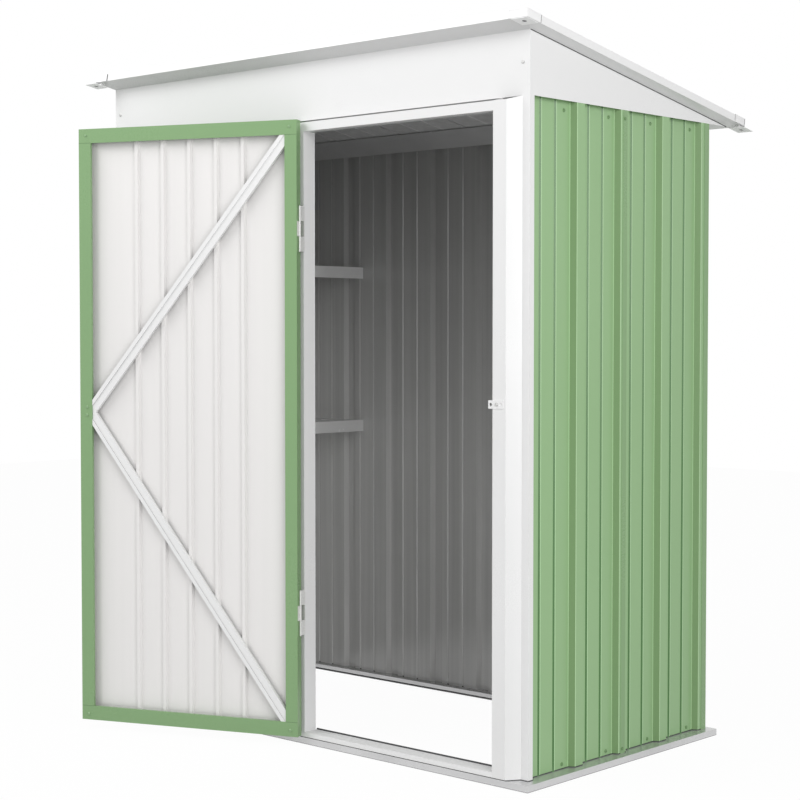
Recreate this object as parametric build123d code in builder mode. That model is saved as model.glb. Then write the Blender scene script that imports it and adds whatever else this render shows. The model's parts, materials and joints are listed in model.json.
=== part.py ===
from build123d import *
from math import cos, radians, sin, tan
import os

os.makedirs("parts", exist_ok=True)

# A lean-to metal storage shed, in millimetres.
# X runs along the front from left to right, Y from the front to the back, Z up.
# X = 0 is the middle of the width, Y = 0 the front face of the corner posts, Z = 0 the ground.

# Walls
half_width = 764.0          # middle of the shed to the outer face of a corner post
wall_depth = 767.0          # front face of the corner posts to the back face of the back corners
wall_top = 1640.0           # top edge of the front and side sheets, behind the fascias
wall_sheet = 0.8            # thickness of the green ribbed sheets
trim_sheet = 1.0            # thickness of the white folded sheets
ridge_depth = 14.0          # height of a ridge above the flats of the sheet
ridge_crown = 32.0          # flat top of a ridge
ridge_flank = 8.6           # run of a ridge's sloping side
ridge_pitch = 182.0         # from one ridge to the next
bead_width = 8.0            # small stiffening bead
bead_depth = 3.0
seam_inset = 5.0            # a seam between two sheets, from the far edge of its ridge's crown
first_bead = 72.0           # from the foot of a ridge to the middles of the two beads after it
second_bead = 130.0
side_first_ridge = 176.0    # foot of the first ridge of a side wall
side_front_beads = (58.0, 116.0)
side_ridge_count = 4
back_ridges_each_side = 4   # ridges of the back wall on each side of its middle one
seam_ridges = (3, 6)        # ridges of the back wall that hold a seam, counted from the left
front_ridge_count = 4
front_ridge_middle = -94.0  # middle of the ridge next to the doorway

# Base frame
base_height = 17.0
base_rail_width = 61.0
base_overhang_front = 34.0
base_overhang_side = 25.0
base_overhang_back = 15.0
base_wall = 1.5
base_foot = 59.5            # flange that the rails stand on
base_lip = 11.0             # turned-down inner edge

# Corner posts and the frame of the doorway
frame_projection = 33.0     # the doorway's frame stands this far out of the wall
doorway_left = 46.5
doorway_right = 680.0
post_face = 40.0            # width of the frame's front faces
jamb_face = 41.0
jamb_return = 41.0          # depth of the jamb's side that faces the doorway
frame_slope = 22.0          # run of the sloping side between the front face and the wall
jamb_flange = 23.5
post_side_flange = 17.0
corner_flange = 40.0        # front flange of the left corner post
back_corner_flange = 22.0
sill_height = 14.0
sill_lip = 2.0
lintel_bottom = 1597.6
lintel_height = 23.4
lintel_return = 20.0        # flange under the lintel

# Fascias and roof
fascia_lap = 10.0           # the fascias come down over the wall sheets by this much
fascia_height = 152.3       # front fascia, up to where the roof's underside starts
roof_pitch = 10.165         # degrees, falling towards the back
roof_overhang_side = 28.5
roof_overhang_front = 50.0
roof_overhang_back = 129.5
eaves_rise = 10.2           # the roof's underside rises by this much towards its outer edge
eaves_height = 19.1         # height of the roof's edge
eaves_flange = 20.0
roof_lip_side = 20.0        # flat lip of the edge trims inside the fascias
roof_lip_end = 30.0
roof_sheet = 0.8
roof_sheet_rise = 11.2      # the roof sheets lie this far above the edge trims' lips
roof_seams_pitch = 264.0    # from one standing seam of the roof to the next
roof_seams_each_side = 2    # seams on each side of the middle one
roof_seam_width = 8.0
roof_seam_flank = 1.0
roof_seam_depth = 14.0
roof_bead_offset = 88.0     # middle of a standing seam to the middles of the beads beside it
corner_plate_size = 45.0
corner_plate_thickness = 1.5
corner_plate_inset = 4.5    # middle of a corner plate inside the roof's side edge
corner_plate_back_inset = 8.0   # middle of a back corner plate inside the roof's back edge
corner_plate_hole = 6.0
corner_spacer = 12.0

# Inner top rails
top_rail_drop = 8.0         # top of the front and side rails under the top of the wall sheets
top_rail_height = 32.0
top_rail_flange = 25.0
top_rail_sheet = 1.2
back_rail_drop = 12.0       # foot of the back rail under the top of the front and side sheets
back_rail_height = 14.0
back_rail_flange = 80.0     # how far its flange reaches under the roof
back_rail_rise = 42.0       # and how much that flange rises
back_rail_end_gap = 1.0     # its ends clear the roof's side trims by this much
side_rail_gap = 12.0        # side rails to the back wall

# Shelves
shelf_width = 266.0
shelf_lip = 35.0
shelf_sheet = 1.0
shelf_upper_top = 1281.6
shelf_lower_top = 805.5
shelf_end_gap = 4.0
shelf_bracket_drop = 70.0
shelf_bracket_reach = 230.0
shelf_bracket_width = 24.0
shelf_bracket_sheet = 1.5
shelf_bracket_places = (216.0, 580.0)

# Door, measured in its own plane from the hinge's axis
door_open_angle = 158.0     # how far the door stands open, in degrees from closed
door_gap = 6.5              # closed door to the frame's front face
door_thickness = 24.0
door_width = 641.0
door_bottom = 23.0
door_top = 1625.5
door_sheet = 1.0
hinge_side_gap = 3.5        # hinge axis to the door's edge
hinge_past_doorway = 4.5    # hinge axis inside the doorway's left edge
stile_hinge_width = 34.0
stile_lock_width = 36.0
rail_width = 38.0
frame_lip = 8.0
skin_sheet = 0.8
door_rib_first = 152.5      # hinge edge of the door to the first rib of its skin
door_rib_pitch = 78.4
door_rib_count = 5
door_rib_width = 17.0
door_rib_flank = 4.0
door_rib_depth = 8.0
brace_width = 28.0
brace_depth = 12.0
brace_fold = 4.0            # middle of a brace to the fold where its face steps back
brace_step = 2.0
brace_corner_inset = 4.0    # middle of a brace inside the corner of the door's frame
brace_meeting = 862.0       # height where the two braces meet at the lock stile
brace_end_rise = 11.0       # middle of a brace above or below that height there
brace_spare = 60.0          # extra length that is cut off at each end

# Hinges and fastening
hinge_bottoms = (288.1, 1286.7)
hinge_length = 117.5
hinge_knuckle_radius = 3.0
hinge_knuckle_gap = 0.6
hinge_sheet = 1.5
hinge_leaf_width = 28.0
door_leaf_width = 20.0
hinge_clearance = 0.6
catch_reach = 12.0          # how far the catch stands past the post into the doorway
catch_width = 46.0
catch_bottom = 897.0
catch_top = 917.0
catch_sheet = 1.5
catch_hole = 4.0
catch_hole_inset = 7.5
handle_length = 96.0
handle_reach = 32.0
handle_bar = 12.0
handle_plate = 2.0
handle_plate_width = 28.0
handle_screws_middle = 865.4
handle_from_edge = 21.0

# Places worked out from the driving sizes
front_crown = trim_sheet
front_flat = trim_sheet + ridge_depth
side_crown = half_width - trim_sheet
side_flat = side_crown - ridge_depth
side_inner = side_flat - wall_sheet
back_crown = wall_depth - trim_sheet
back_flat = back_crown - ridge_depth
back_inner = back_flat - wall_sheet
front_inner = front_flat + wall_sheet
ridge_base = ridge_crown + 2 * ridge_flank
wall_base = base_height
wall_height = wall_top - wall_base
fascia_bottom = wall_top - fascia_lap
fascia_top = fascia_bottom + fascia_height
catch_left = doorway_right - catch_reach
catch_right = catch_left + catch_width
top_rail_top = wall_top - top_rail_drop
top_rail_bottom = top_rail_top - top_rail_height
frame_front = -frame_projection
jamb_slope_start = doorway_left - jamb_face
jamb_slope_end = jamb_slope_start - frame_slope
jamb_flange_end = jamb_slope_end - jamb_flange


def folded(points, thickness, plane=Plane.XY):
    """Section of a folded sheet: the line of one face, thickened to the left of its direction."""
    corners = [Vector(*point) for point in points]
    runs = [(after - before).normalized() for before, after in zip(corners, corners[1:])]
    normals = [Vector(-run.Y, run.X) for run in runs]
    other_face = []
    for corner, n0, n1 in zip(corners, normals[:1] + normals, normals + normals[-1:]):
        other_face.append(corner + (n0 + n1) * (thickness / (1 + n0.dot(n1))))
    with BuildSketch(plane) as section:
        with BuildLine():
            Polyline(*corners, *reversed(other_face), close=True)
        make_face()
    return section.sketch


def ridge(foot):
    """One ridge of the ribbed sheet, as places along the sheet and heights above its flats."""
    crown_start = foot + ridge_flank
    crown_end = crown_start + ridge_crown
    return [(foot, 0), (crown_start, ridge_depth), (crown_end, ridge_depth), (crown_end + ridge_flank, 0)]


def bead(middle):
    """One small bead of the ribbed sheet."""
    half = bead_width / 2
    return [(middle - half, 0), (middle, bead_depth), (middle + half, 0)]


def ridge_and_beads(foot):
    """A ridge with the two beads that follow it."""
    return ridge(foot) + bead(foot + first_bead) + bead(foot + second_bead)


def stretch(line, start, end):
    """The part of a ribbed line between two places, with its ends put in."""
    def height(place):
        for (s0, h0), (s1, h1) in zip(line, line[1:]):
            if s0 <= place <= s1 and s1 > s0:
                return h0 + (h1 - h0) * (place - s0) / (s1 - s0)
        return line[-1][1]

    inner = [point for point in line if start < point[0] < end]
    return [(start, height(start))] + inner + [(end, height(end))]


# Ribbed lines of the walls, as places along each wall and heights above its flats
side_feet = [side_first_ridge + i * ridge_pitch for i in range(side_ridge_count)]
side_line = [(front_crown, 0)] + bead(side_front_beads[0]) + bead(side_front_beads[1])
for foot in side_feet[:-1]:
    side_line += ridge_and_beads(foot)
side_line += [(side_feet[-1], 0), (side_feet[-1] + ridge_flank, ridge_depth), (back_crown, ridge_depth)]
side_seam = side_feet[1] + ridge_flank + ridge_crown - seam_inset

back_end = side_crown - wall_sheet
back_feet = [
    i * ridge_pitch - ridge_base / 2 for i in range(-back_ridges_each_side, back_ridges_each_side + 1)
]
back_line = [(-back_end, ridge_depth), (back_feet[0] + ridge_base - ridge_flank, ridge_depth)]
back_line += [(back_feet[0] + ridge_base, 0)] + bead(back_feet[0] + first_bead)
back_line += bead(back_feet[0] + second_bead)
for foot in back_feet[1:-1]:
    back_line += ridge_and_beads(foot)
back_line += [(back_feet[-1], 0), (back_feet[-1] + ridge_flank, ridge_depth), (back_end, ridge_depth)]
back_seams = [back_feet[i] + ridge_flank + ridge_crown - seam_inset for i in seam_ridges]

front_feet = [
    front_ridge_middle - ridge_base / 2 - i * ridge_pitch for i in reversed(range(front_ridge_count))
]
front_line = [(-side_inner, 0)]
for foot in front_feet:
    front_line += ridge_and_beads(foot)
front_line = [point for point in front_line if point[0] < jamb_flange_end]
front_line += [(jamb_slope_start, 0)]
front_seam = front_feet[1] + ridge_flank + ridge_crown - seam_inset

# Planes of the roof: its underside falls from the top of the front fascia towards the back
slope = radians(roof_pitch)
roof_plane = Plane(origin=(0, 0, fascia_top), x_dir=(1, 0, 0), z_dir=(0, sin(slope), cos(slope)))


def along_roof(y, rise=0.0):
    """Distance down the roof's slope of the point at depth y and height rise above its underside."""
    return (y - rise * sin(slope)) / cos(slope)


eaves_top = eaves_rise + eaves_height
roof_half = half_width + roof_overhang_side
roof_front = along_roof(-roof_overhang_front, eaves_rise)
roof_back = along_roof(wall_depth + roof_overhang_back, eaves_rise)
soffit_front = 0.0
soffit_back = along_roof(wall_depth)
lip_half = half_width - roof_lip_side
lip_front = soffit_front + roof_lip_end
lip_back = soffit_back - roof_lip_end


def roof_rectangle(half, front, back, rise):
    """A rectangle in the roof's plane, at a height above its underside."""
    with BuildSketch(roof_plane.offset(rise)) as area:
        with Locations((0, (front + back) / 2)):
            Rectangle(2 * half, back - front)
    return area.sketch


# Base frame: four folded rails mitred at the corners
base_front = -base_overhang_front
base_back = wall_depth + base_overhang_back
base_half = half_width + base_overhang_side
inner_half = base_half - base_rail_width
inner_front = base_front + base_rail_width
inner_back = base_back - base_rail_width
outer_corners = [
    (-base_half, base_front), (base_half, base_front), (base_half, base_back), (-base_half, base_back)
]
inner_corners = [
    (-inner_half, inner_front), (inner_half, inner_front), (inner_half, inner_back), (-inner_half, inner_back)
]


def rail_section(outer, inward, plane):
    """Section of a rail: a foot, the outer side, the top and a turned-down lip at its inner edge."""
    inner = outer + inward * base_rail_width
    line = [
        (outer + inward * base_foot, 0),
        (outer, 0),
        (outer, base_height),
        (inner, base_height),
        (inner, base_height - base_lip),
    ]
    return folded(line, -inward * base_wall, plane)


def mitre(side):
    """Area of one side of the base frame in plan, between its mitres."""
    following = (side + 1) % len(outer_corners)
    corners = [outer_corners[side], outer_corners[following], inner_corners[following], inner_corners[side]]
    with BuildSketch() as area:
        with BuildLine():
            Polyline(*corners, close=True)
        make_face()
    return area.sketch


across = Plane(origin=(-base_half, 0, 0), x_dir=(0, 1, 0), z_dir=(1, 0, 0))
lengthwise = Plane(origin=(0, base_back, 0), x_dir=(1, 0, 0), z_dir=(0, -1, 0))
base_length = base_back - base_front

with BuildPart() as base_rail_front:
    extrude(rail_section(base_front, 1, across), amount=2 * base_half)
    extrude(mitre(0), amount=base_height, mode=Mode.INTERSECT)

with BuildPart() as base_rail_right:
    extrude(rail_section(base_half, -1, lengthwise), amount=base_length)
    extrude(mitre(1), amount=base_height, mode=Mode.INTERSECT)

with BuildPart() as base_rail_back:
    extrude(rail_section(base_back, -1, across), amount=2 * base_half)
    extrude(mitre(2), amount=base_height, mode=Mode.INTERSECT)

with BuildPart() as base_rail_left:
    extrude(rail_section(-base_half, 1, lengthwise), amount=base_length)
    extrude(mitre(3), amount=base_height, mode=Mode.INTERSECT)

# Corner posts and the frame of the doorway
post_plane = Plane.XY.offset(wall_base)
post_height = fascia_bottom - wall_base
right_post_line = [
    (doorway_right, front_flat),
    (doorway_right, frame_front),
    (doorway_right + post_face, frame_front),
    (doorway_right + post_face + frame_slope, 0),
    (half_width, 0),
    (half_width, post_side_flange),
    (side_flat, post_side_flange),
]
left_post_line = [
    (-half_width + corner_flange, front_flat),
    (-half_width + corner_flange, 0),
    (-half_width, 0),
    (-half_width, post_side_flange),
    (-side_flat, post_side_flange),
]
jamb_line = [
    (doorway_left, frame_front + jamb_return),
    (doorway_left, frame_front),
    (jamb_slope_start, frame_front),
    (jamb_slope_end, 0),
    (jamb_flange_end, 0),
    (jamb_flange_end, front_flat),
]

lintel_top = lintel_bottom + lintel_height
post_top_normal = Vector(0, lintel_top - fascia_bottom, frame_projection)
post_top_plane = Plane(origin=(0, 0, fascia_bottom), x_dir=(1, 0, 0), z_dir=post_top_normal)
with BuildPart() as corner_post_right:
    extrude(folded(right_post_line, trim_sheet, post_plane), amount=post_height)
    split(bisect_by=post_top_plane, keep=Keep.BOTTOM)

with BuildPart() as corner_post_left:
    extrude(folded(left_post_line, -trim_sheet, post_plane), amount=post_height)

with BuildPart() as door_jamb:
    extrude(folded(jamb_line, -trim_sheet, post_plane), amount=lintel_bottom - wall_base)

back_angle_line = [
    (half_width, wall_depth - back_corner_flange),
    (half_width, wall_depth),
    (half_width - back_corner_flange, wall_depth),
]
with BuildPart() as back_corner_angles:
    extrude(folded(back_angle_line, trim_sheet, post_plane), amount=post_height)
    mirror(about=Plane.YZ)

sill_plane = Plane(origin=(doorway_left, 0, 0), x_dir=(0, 1, 0), z_dir=(1, 0, 0))
sill_top = base_height + sill_height
sill_line = [(frame_front, base_height), (frame_front, sill_top), (front_flat, sill_top)]
with BuildPart() as door_sill:
    extrude(folded(sill_line, -trim_sheet, sill_plane), amount=doorway_right - doorway_left)
    with BuildSketch(sill_plane):
        with Locations((front_flat - trim_sheet / 2, base_height + (sill_height + sill_lip) / 2)):
            Rectangle(trim_sheet, sill_height + sill_lip)
    extrude(amount=doorway_right - doorway_left)

lintel_plane = Plane(origin=(jamb_slope_start, 0, 0), x_dir=(0, 1, 0), z_dir=(1, 0, 0))
lintel_line = [
    (frame_front + lintel_return, lintel_bottom),
    (frame_front, lintel_bottom),
    (frame_front, lintel_top),
    (0, lintel_top),
]
with BuildPart() as door_lintel:
    extrude(folded(lintel_line, -trim_sheet, lintel_plane), amount=doorway_right - jamb_slope_start)

# Ribbed wall sheets
def right_wall(start, end):
    """Section of the right wall's sheet between two depths."""
    points = [(side_flat + height, place) for place, height in stretch(side_line, start, end)]
    return folded(points, wall_sheet, post_plane)


def left_wall(start, end):
    """Section of the left wall's sheet between two depths."""
    points = [(-side_flat - height, place) for place, height in stretch(side_line, start, end)]
    return folded(points, -wall_sheet, post_plane)


def back_wall(start, end):
    """Section of the back wall's sheet between two places along it."""
    points = [(place, back_flat + height) for place, height in stretch(back_line, start, end)]
    return folded(points, -wall_sheet, post_plane)


def front_wall(start, end):
    """Section of the front wall's sheet between two places along it."""
    points = [(place, front_flat - height) for place, height in stretch(front_line, start, end)]
    return folded(points, wall_sheet, post_plane)


with BuildPart() as right_panel_front:
    extrude(right_wall(front_crown, side_seam), amount=wall_height)

with BuildPart() as right_panel_back:
    extrude(right_wall(side_seam, back_crown), amount=wall_height)

with BuildPart() as left_panel_front:
    extrude(left_wall(front_crown, side_seam), amount=wall_height)

with BuildPart() as left_panel_back:
    extrude(left_wall(side_seam, back_crown), amount=wall_height)

with BuildPart() as front_panel_outer:
    extrude(front_wall(-side_inner, front_seam), amount=wall_height)

with BuildPart() as front_panel_inner:
    extrude(front_wall(front_seam, jamb_slope_start), amount=wall_height)

back_cut_height = fascia_top - wall_base
with BuildPart() as back_panel_left:
    extrude(back_wall(-back_end, back_seams[0]), amount=back_cut_height)
    split(bisect_by=roof_plane, keep=Keep.BOTTOM)

with BuildPart() as back_panel_middle:
    extrude(back_wall(back_seams[0], back_seams[1]), amount=back_cut_height)
    split(bisect_by=roof_plane, keep=Keep.BOTTOM)

with BuildPart() as back_panel_right:
    extrude(back_wall(back_seams[1], back_end), amount=back_cut_height)
    split(bisect_by=roof_plane, keep=Keep.BOTTOM)

# Inner top rails: angles on the inside of the walls; the back one's flange slopes up under the roof
def top_rail_line(face, inward):
    """Outer face of a top rail against a wall, with its flange pointing into the shed."""
    return [(face, top_rail_bottom), (face, top_rail_top), (face + inward * top_rail_flange, top_rail_top)]


inner_span = 2 * side_inner
across_inside = Plane(origin=(-side_inner, 0, 0), x_dir=(0, 1, 0), z_dir=(1, 0, 0))
side_rail_end = back_inner - side_rail_gap
side_rail_back = Plane(origin=(0, side_rail_end, 0), x_dir=(1, 0, 0), z_dir=(0, -1, 0))
side_rail_length = side_rail_end - front_inner - top_rail_flange
back_rail_half = lip_half - back_rail_end_gap
across_back = Plane(origin=(-back_rail_half, 0, 0), x_dir=(0, 1, 0), z_dir=(1, 0, 0))
back_rail_foot = wall_top - back_rail_drop
back_rail_line = [
    (back_inner, back_rail_foot + back_rail_height),
    (back_inner, back_rail_foot),
    (back_inner - back_rail_flange, back_rail_foot + back_rail_rise),
]

with BuildPart() as top_rails_across:
    extrude(folded(top_rail_line(front_inner, 1), -top_rail_sheet, across_inside), amount=inner_span)
    extrude(folded(back_rail_line, -top_rail_sheet, across_back), amount=2 * back_rail_half)

with BuildPart() as top_rails_side:
    section = folded(top_rail_line(side_inner, -1), top_rail_sheet, side_rail_back)
    extrude(section, amount=side_rail_length)
    mirror(about=Plane.YZ)

# Fascias, closing the space between the wall tops and the roof
fascia_plane = Plane(origin=(0, front_crown, 0), x_dir=(1, 0, 0), z_dir=(0, -1, 0))
fascia_fall = tan(slope)
fascia_tip = (fascia_top - fascia_bottom) / fascia_fall
with BuildPart() as fascia_front:
    with BuildSketch(fascia_plane):
        with Locations((0, (fascia_bottom + fascia_top) / 2)):
            Rectangle(2 * half_width, fascia_top - fascia_bottom)
    extrude(amount=trim_sheet)
    split(bisect_by=roof_plane, keep=Keep.BOTTOM)


def side_fascia(face):
    """Tapering sheet under the roof's side, on the plane x = face."""
    with BuildSketch(Plane(origin=(face, 0, 0), x_dir=(0, 1, 0), z_dir=(1, 0, 0))) as area:
        with BuildLine():
            Polyline(
                (front_crown, fascia_bottom),
                (fascia_tip, fascia_bottom),
                (front_crown, fascia_top - front_crown * fascia_fall),
                close=True,
            )
        make_face()
    return area.sketch


with BuildPart() as fascia_right:
    extrude(side_fascia(side_crown), amount=trim_sheet)

with BuildPart() as fascia_left:
    extrude(side_fascia(-half_width), amount=trim_sheet)

# Roof's edge: a blank of the whole folded edge, cut into four trims at its mitres
with BuildPart() as roof_edge:
    loft([
        roof_rectangle(half_width, soffit_front, soffit_back, 0),
        roof_rectangle(roof_half, roof_front, roof_back, eaves_rise),
    ])
    loft([
        roof_rectangle(half_width, soffit_front, soffit_back, trim_sheet),
        roof_rectangle(roof_half, roof_front, roof_back, eaves_rise + trim_sheet),
    ], mode=Mode.SUBTRACT)
    extrude(roof_rectangle(lip_half, lip_front, lip_back, 0), amount=trim_sheet, mode=Mode.SUBTRACT)
    web_outside = roof_rectangle(lip_half + trim_sheet, lip_front - trim_sheet, lip_back + trim_sheet, 0)
    extrude(web_outside, amount=roof_sheet_rise)
    extrude(roof_rectangle(lip_half, lip_front, lip_back, 0), amount=roof_sheet_rise, mode=Mode.SUBTRACT)
    edge_inside = roof_rectangle(
        roof_half - trim_sheet, roof_front + trim_sheet, roof_back - trim_sheet, eaves_rise
    )
    edge_outside = roof_rectangle(roof_half, roof_front, roof_back, eaves_rise)
    extrude(edge_outside - edge_inside, amount=eaves_height)
    flange_half = roof_half - eaves_flange
    flange_plane_rise = eaves_top - trim_sheet
    flange_outside = roof_rectangle(roof_half, roof_front, roof_back, flange_plane_rise)
    flange_inside = roof_rectangle(
        flange_half, roof_front + eaves_flange, roof_back - eaves_flange, flange_plane_rise
    )
    extrude(flange_outside - flange_inside, amount=trim_sheet)


def trim_area(corners):
    """Area in the roof's plane that one edge trim keeps, from its mitred corners."""
    with BuildSketch(roof_plane.offset(-trim_sheet)) as area:
        with BuildLine():
            Polyline(*corners, close=True)
        make_face()
    return area.sketch


trim_reach = eaves_top + 2 * trim_sheet
front_mitre = [(roof_half, roof_front), (half_width, soffit_front), (lip_half, lip_front)]
back_mitre = [(roof_half, roof_back), (half_width, soffit_back), (lip_half, lip_back)]


def mirrored(corners):
    """The same corners on the left of the shed, in the opposite order."""
    return [(-x, y) for x, y in reversed(corners)]


with BuildPart() as roof_trim_front:
    add(roof_edge.part)
    extrude(trim_area(front_mitre + mirrored(front_mitre)), amount=trim_reach, mode=Mode.INTERSECT)

with BuildPart() as roof_trim_back:
    add(roof_edge.part)
    extrude(trim_area(back_mitre + mirrored(back_mitre)), amount=trim_reach, mode=Mode.INTERSECT)

with BuildPart() as roof_trims_side:
    add(roof_edge.part)
    extrude(trim_area(front_mitre + back_mitre[::-1]), amount=trim_reach, mode=Mode.INTERSECT)
    mirror(about=Plane.YZ)

# Roof sheets with standing seams, lying on the trims' inner lips and reaching into the trims
roof_sheet_half = roof_half - trim_sheet
roof_sheet_length = roof_back - roof_front - 2 * trim_sheet
roof_section_plane = Plane(
    origin=roof_plane.from_local_coords((0, roof_back - trim_sheet, roof_sheet_rise)),
    x_dir=(1, 0, 0),
    z_dir=(0, -cos(slope), sin(slope)),
)
seam_places = [i * roof_seams_pitch for i in range(-roof_seams_each_side, roof_seams_each_side + 1)]


def standing_seam(middle):
    """One narrow raised seam of the roof, with the two beads beside it."""
    half = roof_seam_width / 2
    top = half - roof_seam_flank
    seam = [
        (middle - half, 0),
        (middle - top, roof_seam_depth),
        (middle + top, roof_seam_depth),
        (middle + half, 0),
    ]
    return bead(middle - roof_bead_offset) + seam + bead(middle + roof_bead_offset)


roof_line = [(-roof_sheet_half, 0)]
for place in seam_places:
    roof_line += standing_seam(place)
roof_line += [(roof_sheet_half, 0)]
roof_joints = [seam_places[1] + roof_seam_width / 2, seam_places[-2] + roof_seam_width / 2]


def roof_section(start, end):
    """Section of the roof's sheet between two places along its width."""
    points = [(place, height + roof_sheet) for place, height in stretch(roof_line, start, end)]
    return folded(points, -roof_sheet, roof_section_plane)


with BuildPart() as roof_panel_left:
    extrude(roof_section(-roof_sheet_half, roof_joints[0]), amount=roof_sheet_length)

with BuildPart() as roof_panel_middle:
    extrude(roof_section(roof_joints[0], roof_joints[1]), amount=roof_sheet_length)

with BuildPart() as roof_panel_right:
    extrude(roof_section(roof_joints[1], roof_sheet_half), amount=roof_sheet_length)

# Corner plates: square plates under the roof's corners, each held by a spacer
plate_middle = roof_half - corner_plate_inset
spacer_middle = roof_half - corner_spacer
with BuildPart() as roof_corner_plates:
    for end, inward, inset in ((roof_front, 1, 0), (roof_back, -1, corner_plate_back_inset)):
        with BuildSketch(roof_plane.offset(-corner_plate_thickness)):
            with Locations((plate_middle, end + inward * inset)):
                Rectangle(corner_plate_size, corner_plate_size)
                Circle(corner_plate_hole, mode=Mode.SUBTRACT)
        extrude(amount=corner_plate_thickness)
        with BuildSketch(roof_plane):
            with Locations((spacer_middle, end + inward * corner_spacer)):
                Rectangle(corner_spacer, corner_spacer)
        extrude(amount=eaves_rise)
    loft([
        roof_rectangle(half_width, soffit_front, soffit_back, 0),
        roof_rectangle(roof_half, roof_front, roof_back, eaves_rise),
    ], mode=Mode.SUBTRACT)
    mirror(about=Plane.YZ)

# Shelves along the left wall, with the angle brackets that carry them
shelf_left = -side_inner
shelf_front_edge = shelf_left + shelf_width
shelf_start = front_inner + shelf_end_gap
shelf_length = back_inner - shelf_end_gap - shelf_start
shelf_plane = Plane(origin=(0, shelf_start + shelf_length, 0), x_dir=(1, 0, 0), z_dir=(0, -1, 0))


def shelf_section(top):
    """Section of a shelf whose front edge is turned down."""
    points = [(shelf_left, top), (shelf_front_edge, top), (shelf_front_edge, top - shelf_lip)]
    return folded(points, -shelf_sheet, shelf_plane)


with BuildPart() as shelf_upper:
    extrude(shelf_section(shelf_upper_top), amount=shelf_length)

with BuildPart() as shelf_lower:
    extrude(shelf_section(shelf_lower_top), amount=shelf_length)

with BuildPart() as shelf_brackets:
    for top in (shelf_upper_top, shelf_lower_top):
        seat = top - shelf_sheet
        for place in shelf_bracket_places:
            bracket_edge = place + shelf_bracket_width / 2
            bracket_plane = Plane(origin=(0, bracket_edge, 0), x_dir=(1, 0, 0), z_dir=(0, -1, 0))
            points = [
                (shelf_left, seat - shelf_bracket_drop),
                (shelf_left, seat),
                (shelf_left + shelf_bracket_reach, seat),
            ]
            extrude(folded(points, -shelf_bracket_sheet, bracket_plane), amount=shelf_bracket_width)

# Door, drawn in the plane it stands open in: a runs from the hinge's axis along the door,
# b through its thickness towards the inner face, and c is its height
opening = radians(door_open_angle)
along = Vector(cos(opening), -sin(opening), 0)
inward = Vector(sin(opening), cos(opening), 0)
half_thick = door_thickness / 2
axis_x = doorway_left + hinge_past_doorway
axis_y = frame_front - door_gap - half_thick
axis = Vector(axis_x, axis_y, 0)
edge_a = hinge_side_gap
free_a = hinge_side_gap + door_width
door_plan = Plane(origin=axis, x_dir=along, z_dir=(0, 0, 1))
stile_hinge_end = edge_a + stile_hinge_width
stile_lock_end = free_a - stile_lock_width
brace_span = stile_lock_end - stile_hinge_end
rail_plane = Plane(origin=axis + along * edge_a, x_dir=inward, z_dir=along)
door_face_plane = Plane(origin=axis + inward * (half_thick - door_sheet), x_dir=along, z_dir=-inward)
stile_bottom = door_bottom + rail_width
stile_length = door_top - rail_width - stile_bottom

hinge_stile_line = [
    (stile_hinge_end, -half_thick),
    (edge_a, -half_thick),
    (edge_a, half_thick),
    (stile_hinge_end, half_thick),
    (stile_hinge_end, half_thick - frame_lip),
]
lock_stile_line = [
    (stile_lock_end, -half_thick),
    (free_a, -half_thick),
    (free_a, half_thick),
    (stile_lock_end, half_thick),
    (stile_lock_end, half_thick - frame_lip),
]
with BuildPart() as door_stile_hinge:
    extrude(folded(hinge_stile_line, -door_sheet, door_plan.offset(stile_bottom)), amount=stile_length)

with BuildPart() as door_stile_lock:
    extrude(folded(lock_stile_line, door_sheet, door_plan.offset(stile_bottom)), amount=stile_length)


def door_rail_line(outer, inner):
    """Outer face of a rail of the door's frame, from its outer edge's height to its inner edge's."""
    lip = half_thick - frame_lip
    return [
        (-half_thick, inner), (-half_thick, outer), (half_thick, outer), (half_thick, inner), (lip, inner)
    ]


def rail_ends(outer, inner):
    """Areas of a rail's two closed ends."""
    areas = []
    for place in (0, door_width - door_sheet):
        with BuildSketch(rail_plane.offset(place)) as area:
            with Locations((0, (outer + inner) / 2)):
                Rectangle(door_thickness, rail_width)
        areas.append(area.sketch)
    return areas


with BuildPart() as door_rail_top:
    line = door_rail_line(door_top, door_top - rail_width)
    extrude(folded(line, -door_sheet, rail_plane), amount=door_width)
    for end in rail_ends(door_top, door_top - rail_width):
        extrude(end, amount=door_sheet)

with BuildPart() as door_rail_bottom:
    line = door_rail_line(door_bottom, door_bottom + rail_width)
    extrude(folded(line, door_sheet, rail_plane), amount=door_width)
    for end in rail_ends(door_bottom, door_bottom + rail_width):
        extrude(end, amount=door_sheet)

# The door's ribbed skin, held against the outer flanges of its frame
skin_face = -half_thick + door_sheet + skin_sheet
skin_start = edge_a + door_sheet
skin_end = free_a - door_sheet
skin_line = [(skin_start, skin_face)]
for i in range(door_rib_count):
    foot = edge_a + door_rib_first + i * door_rib_pitch
    skin_line += [
        (foot, skin_face),
        (foot + door_rib_flank, skin_face + door_rib_depth),
        (foot + door_rib_width - door_rib_flank, skin_face + door_rib_depth),
        (foot + door_rib_width, skin_face),
    ]
skin_line += [(skin_end, skin_face)]
skin_base = door_bottom + door_sheet
skin_height = door_top - door_bottom - 2 * door_sheet
with BuildPart() as door_panel:
    extrude(folded(skin_line, -skin_sheet, door_plan.offset(skin_base)), amount=skin_height)

# Braces: two folded channels from the hinge stile's corners to the middle of the lock stile
brace_low_inner = door_bottom + rail_width
brace_high_inner = door_top - rail_width
brace_half = brace_width / 2
brace_line = [
    (-brace_half, brace_depth),
    (-brace_half, brace_step),
    (brace_fold, brace_step),
    (brace_fold, 0),
    (brace_half, 0),
    (brace_half, brace_depth),
]


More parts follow.
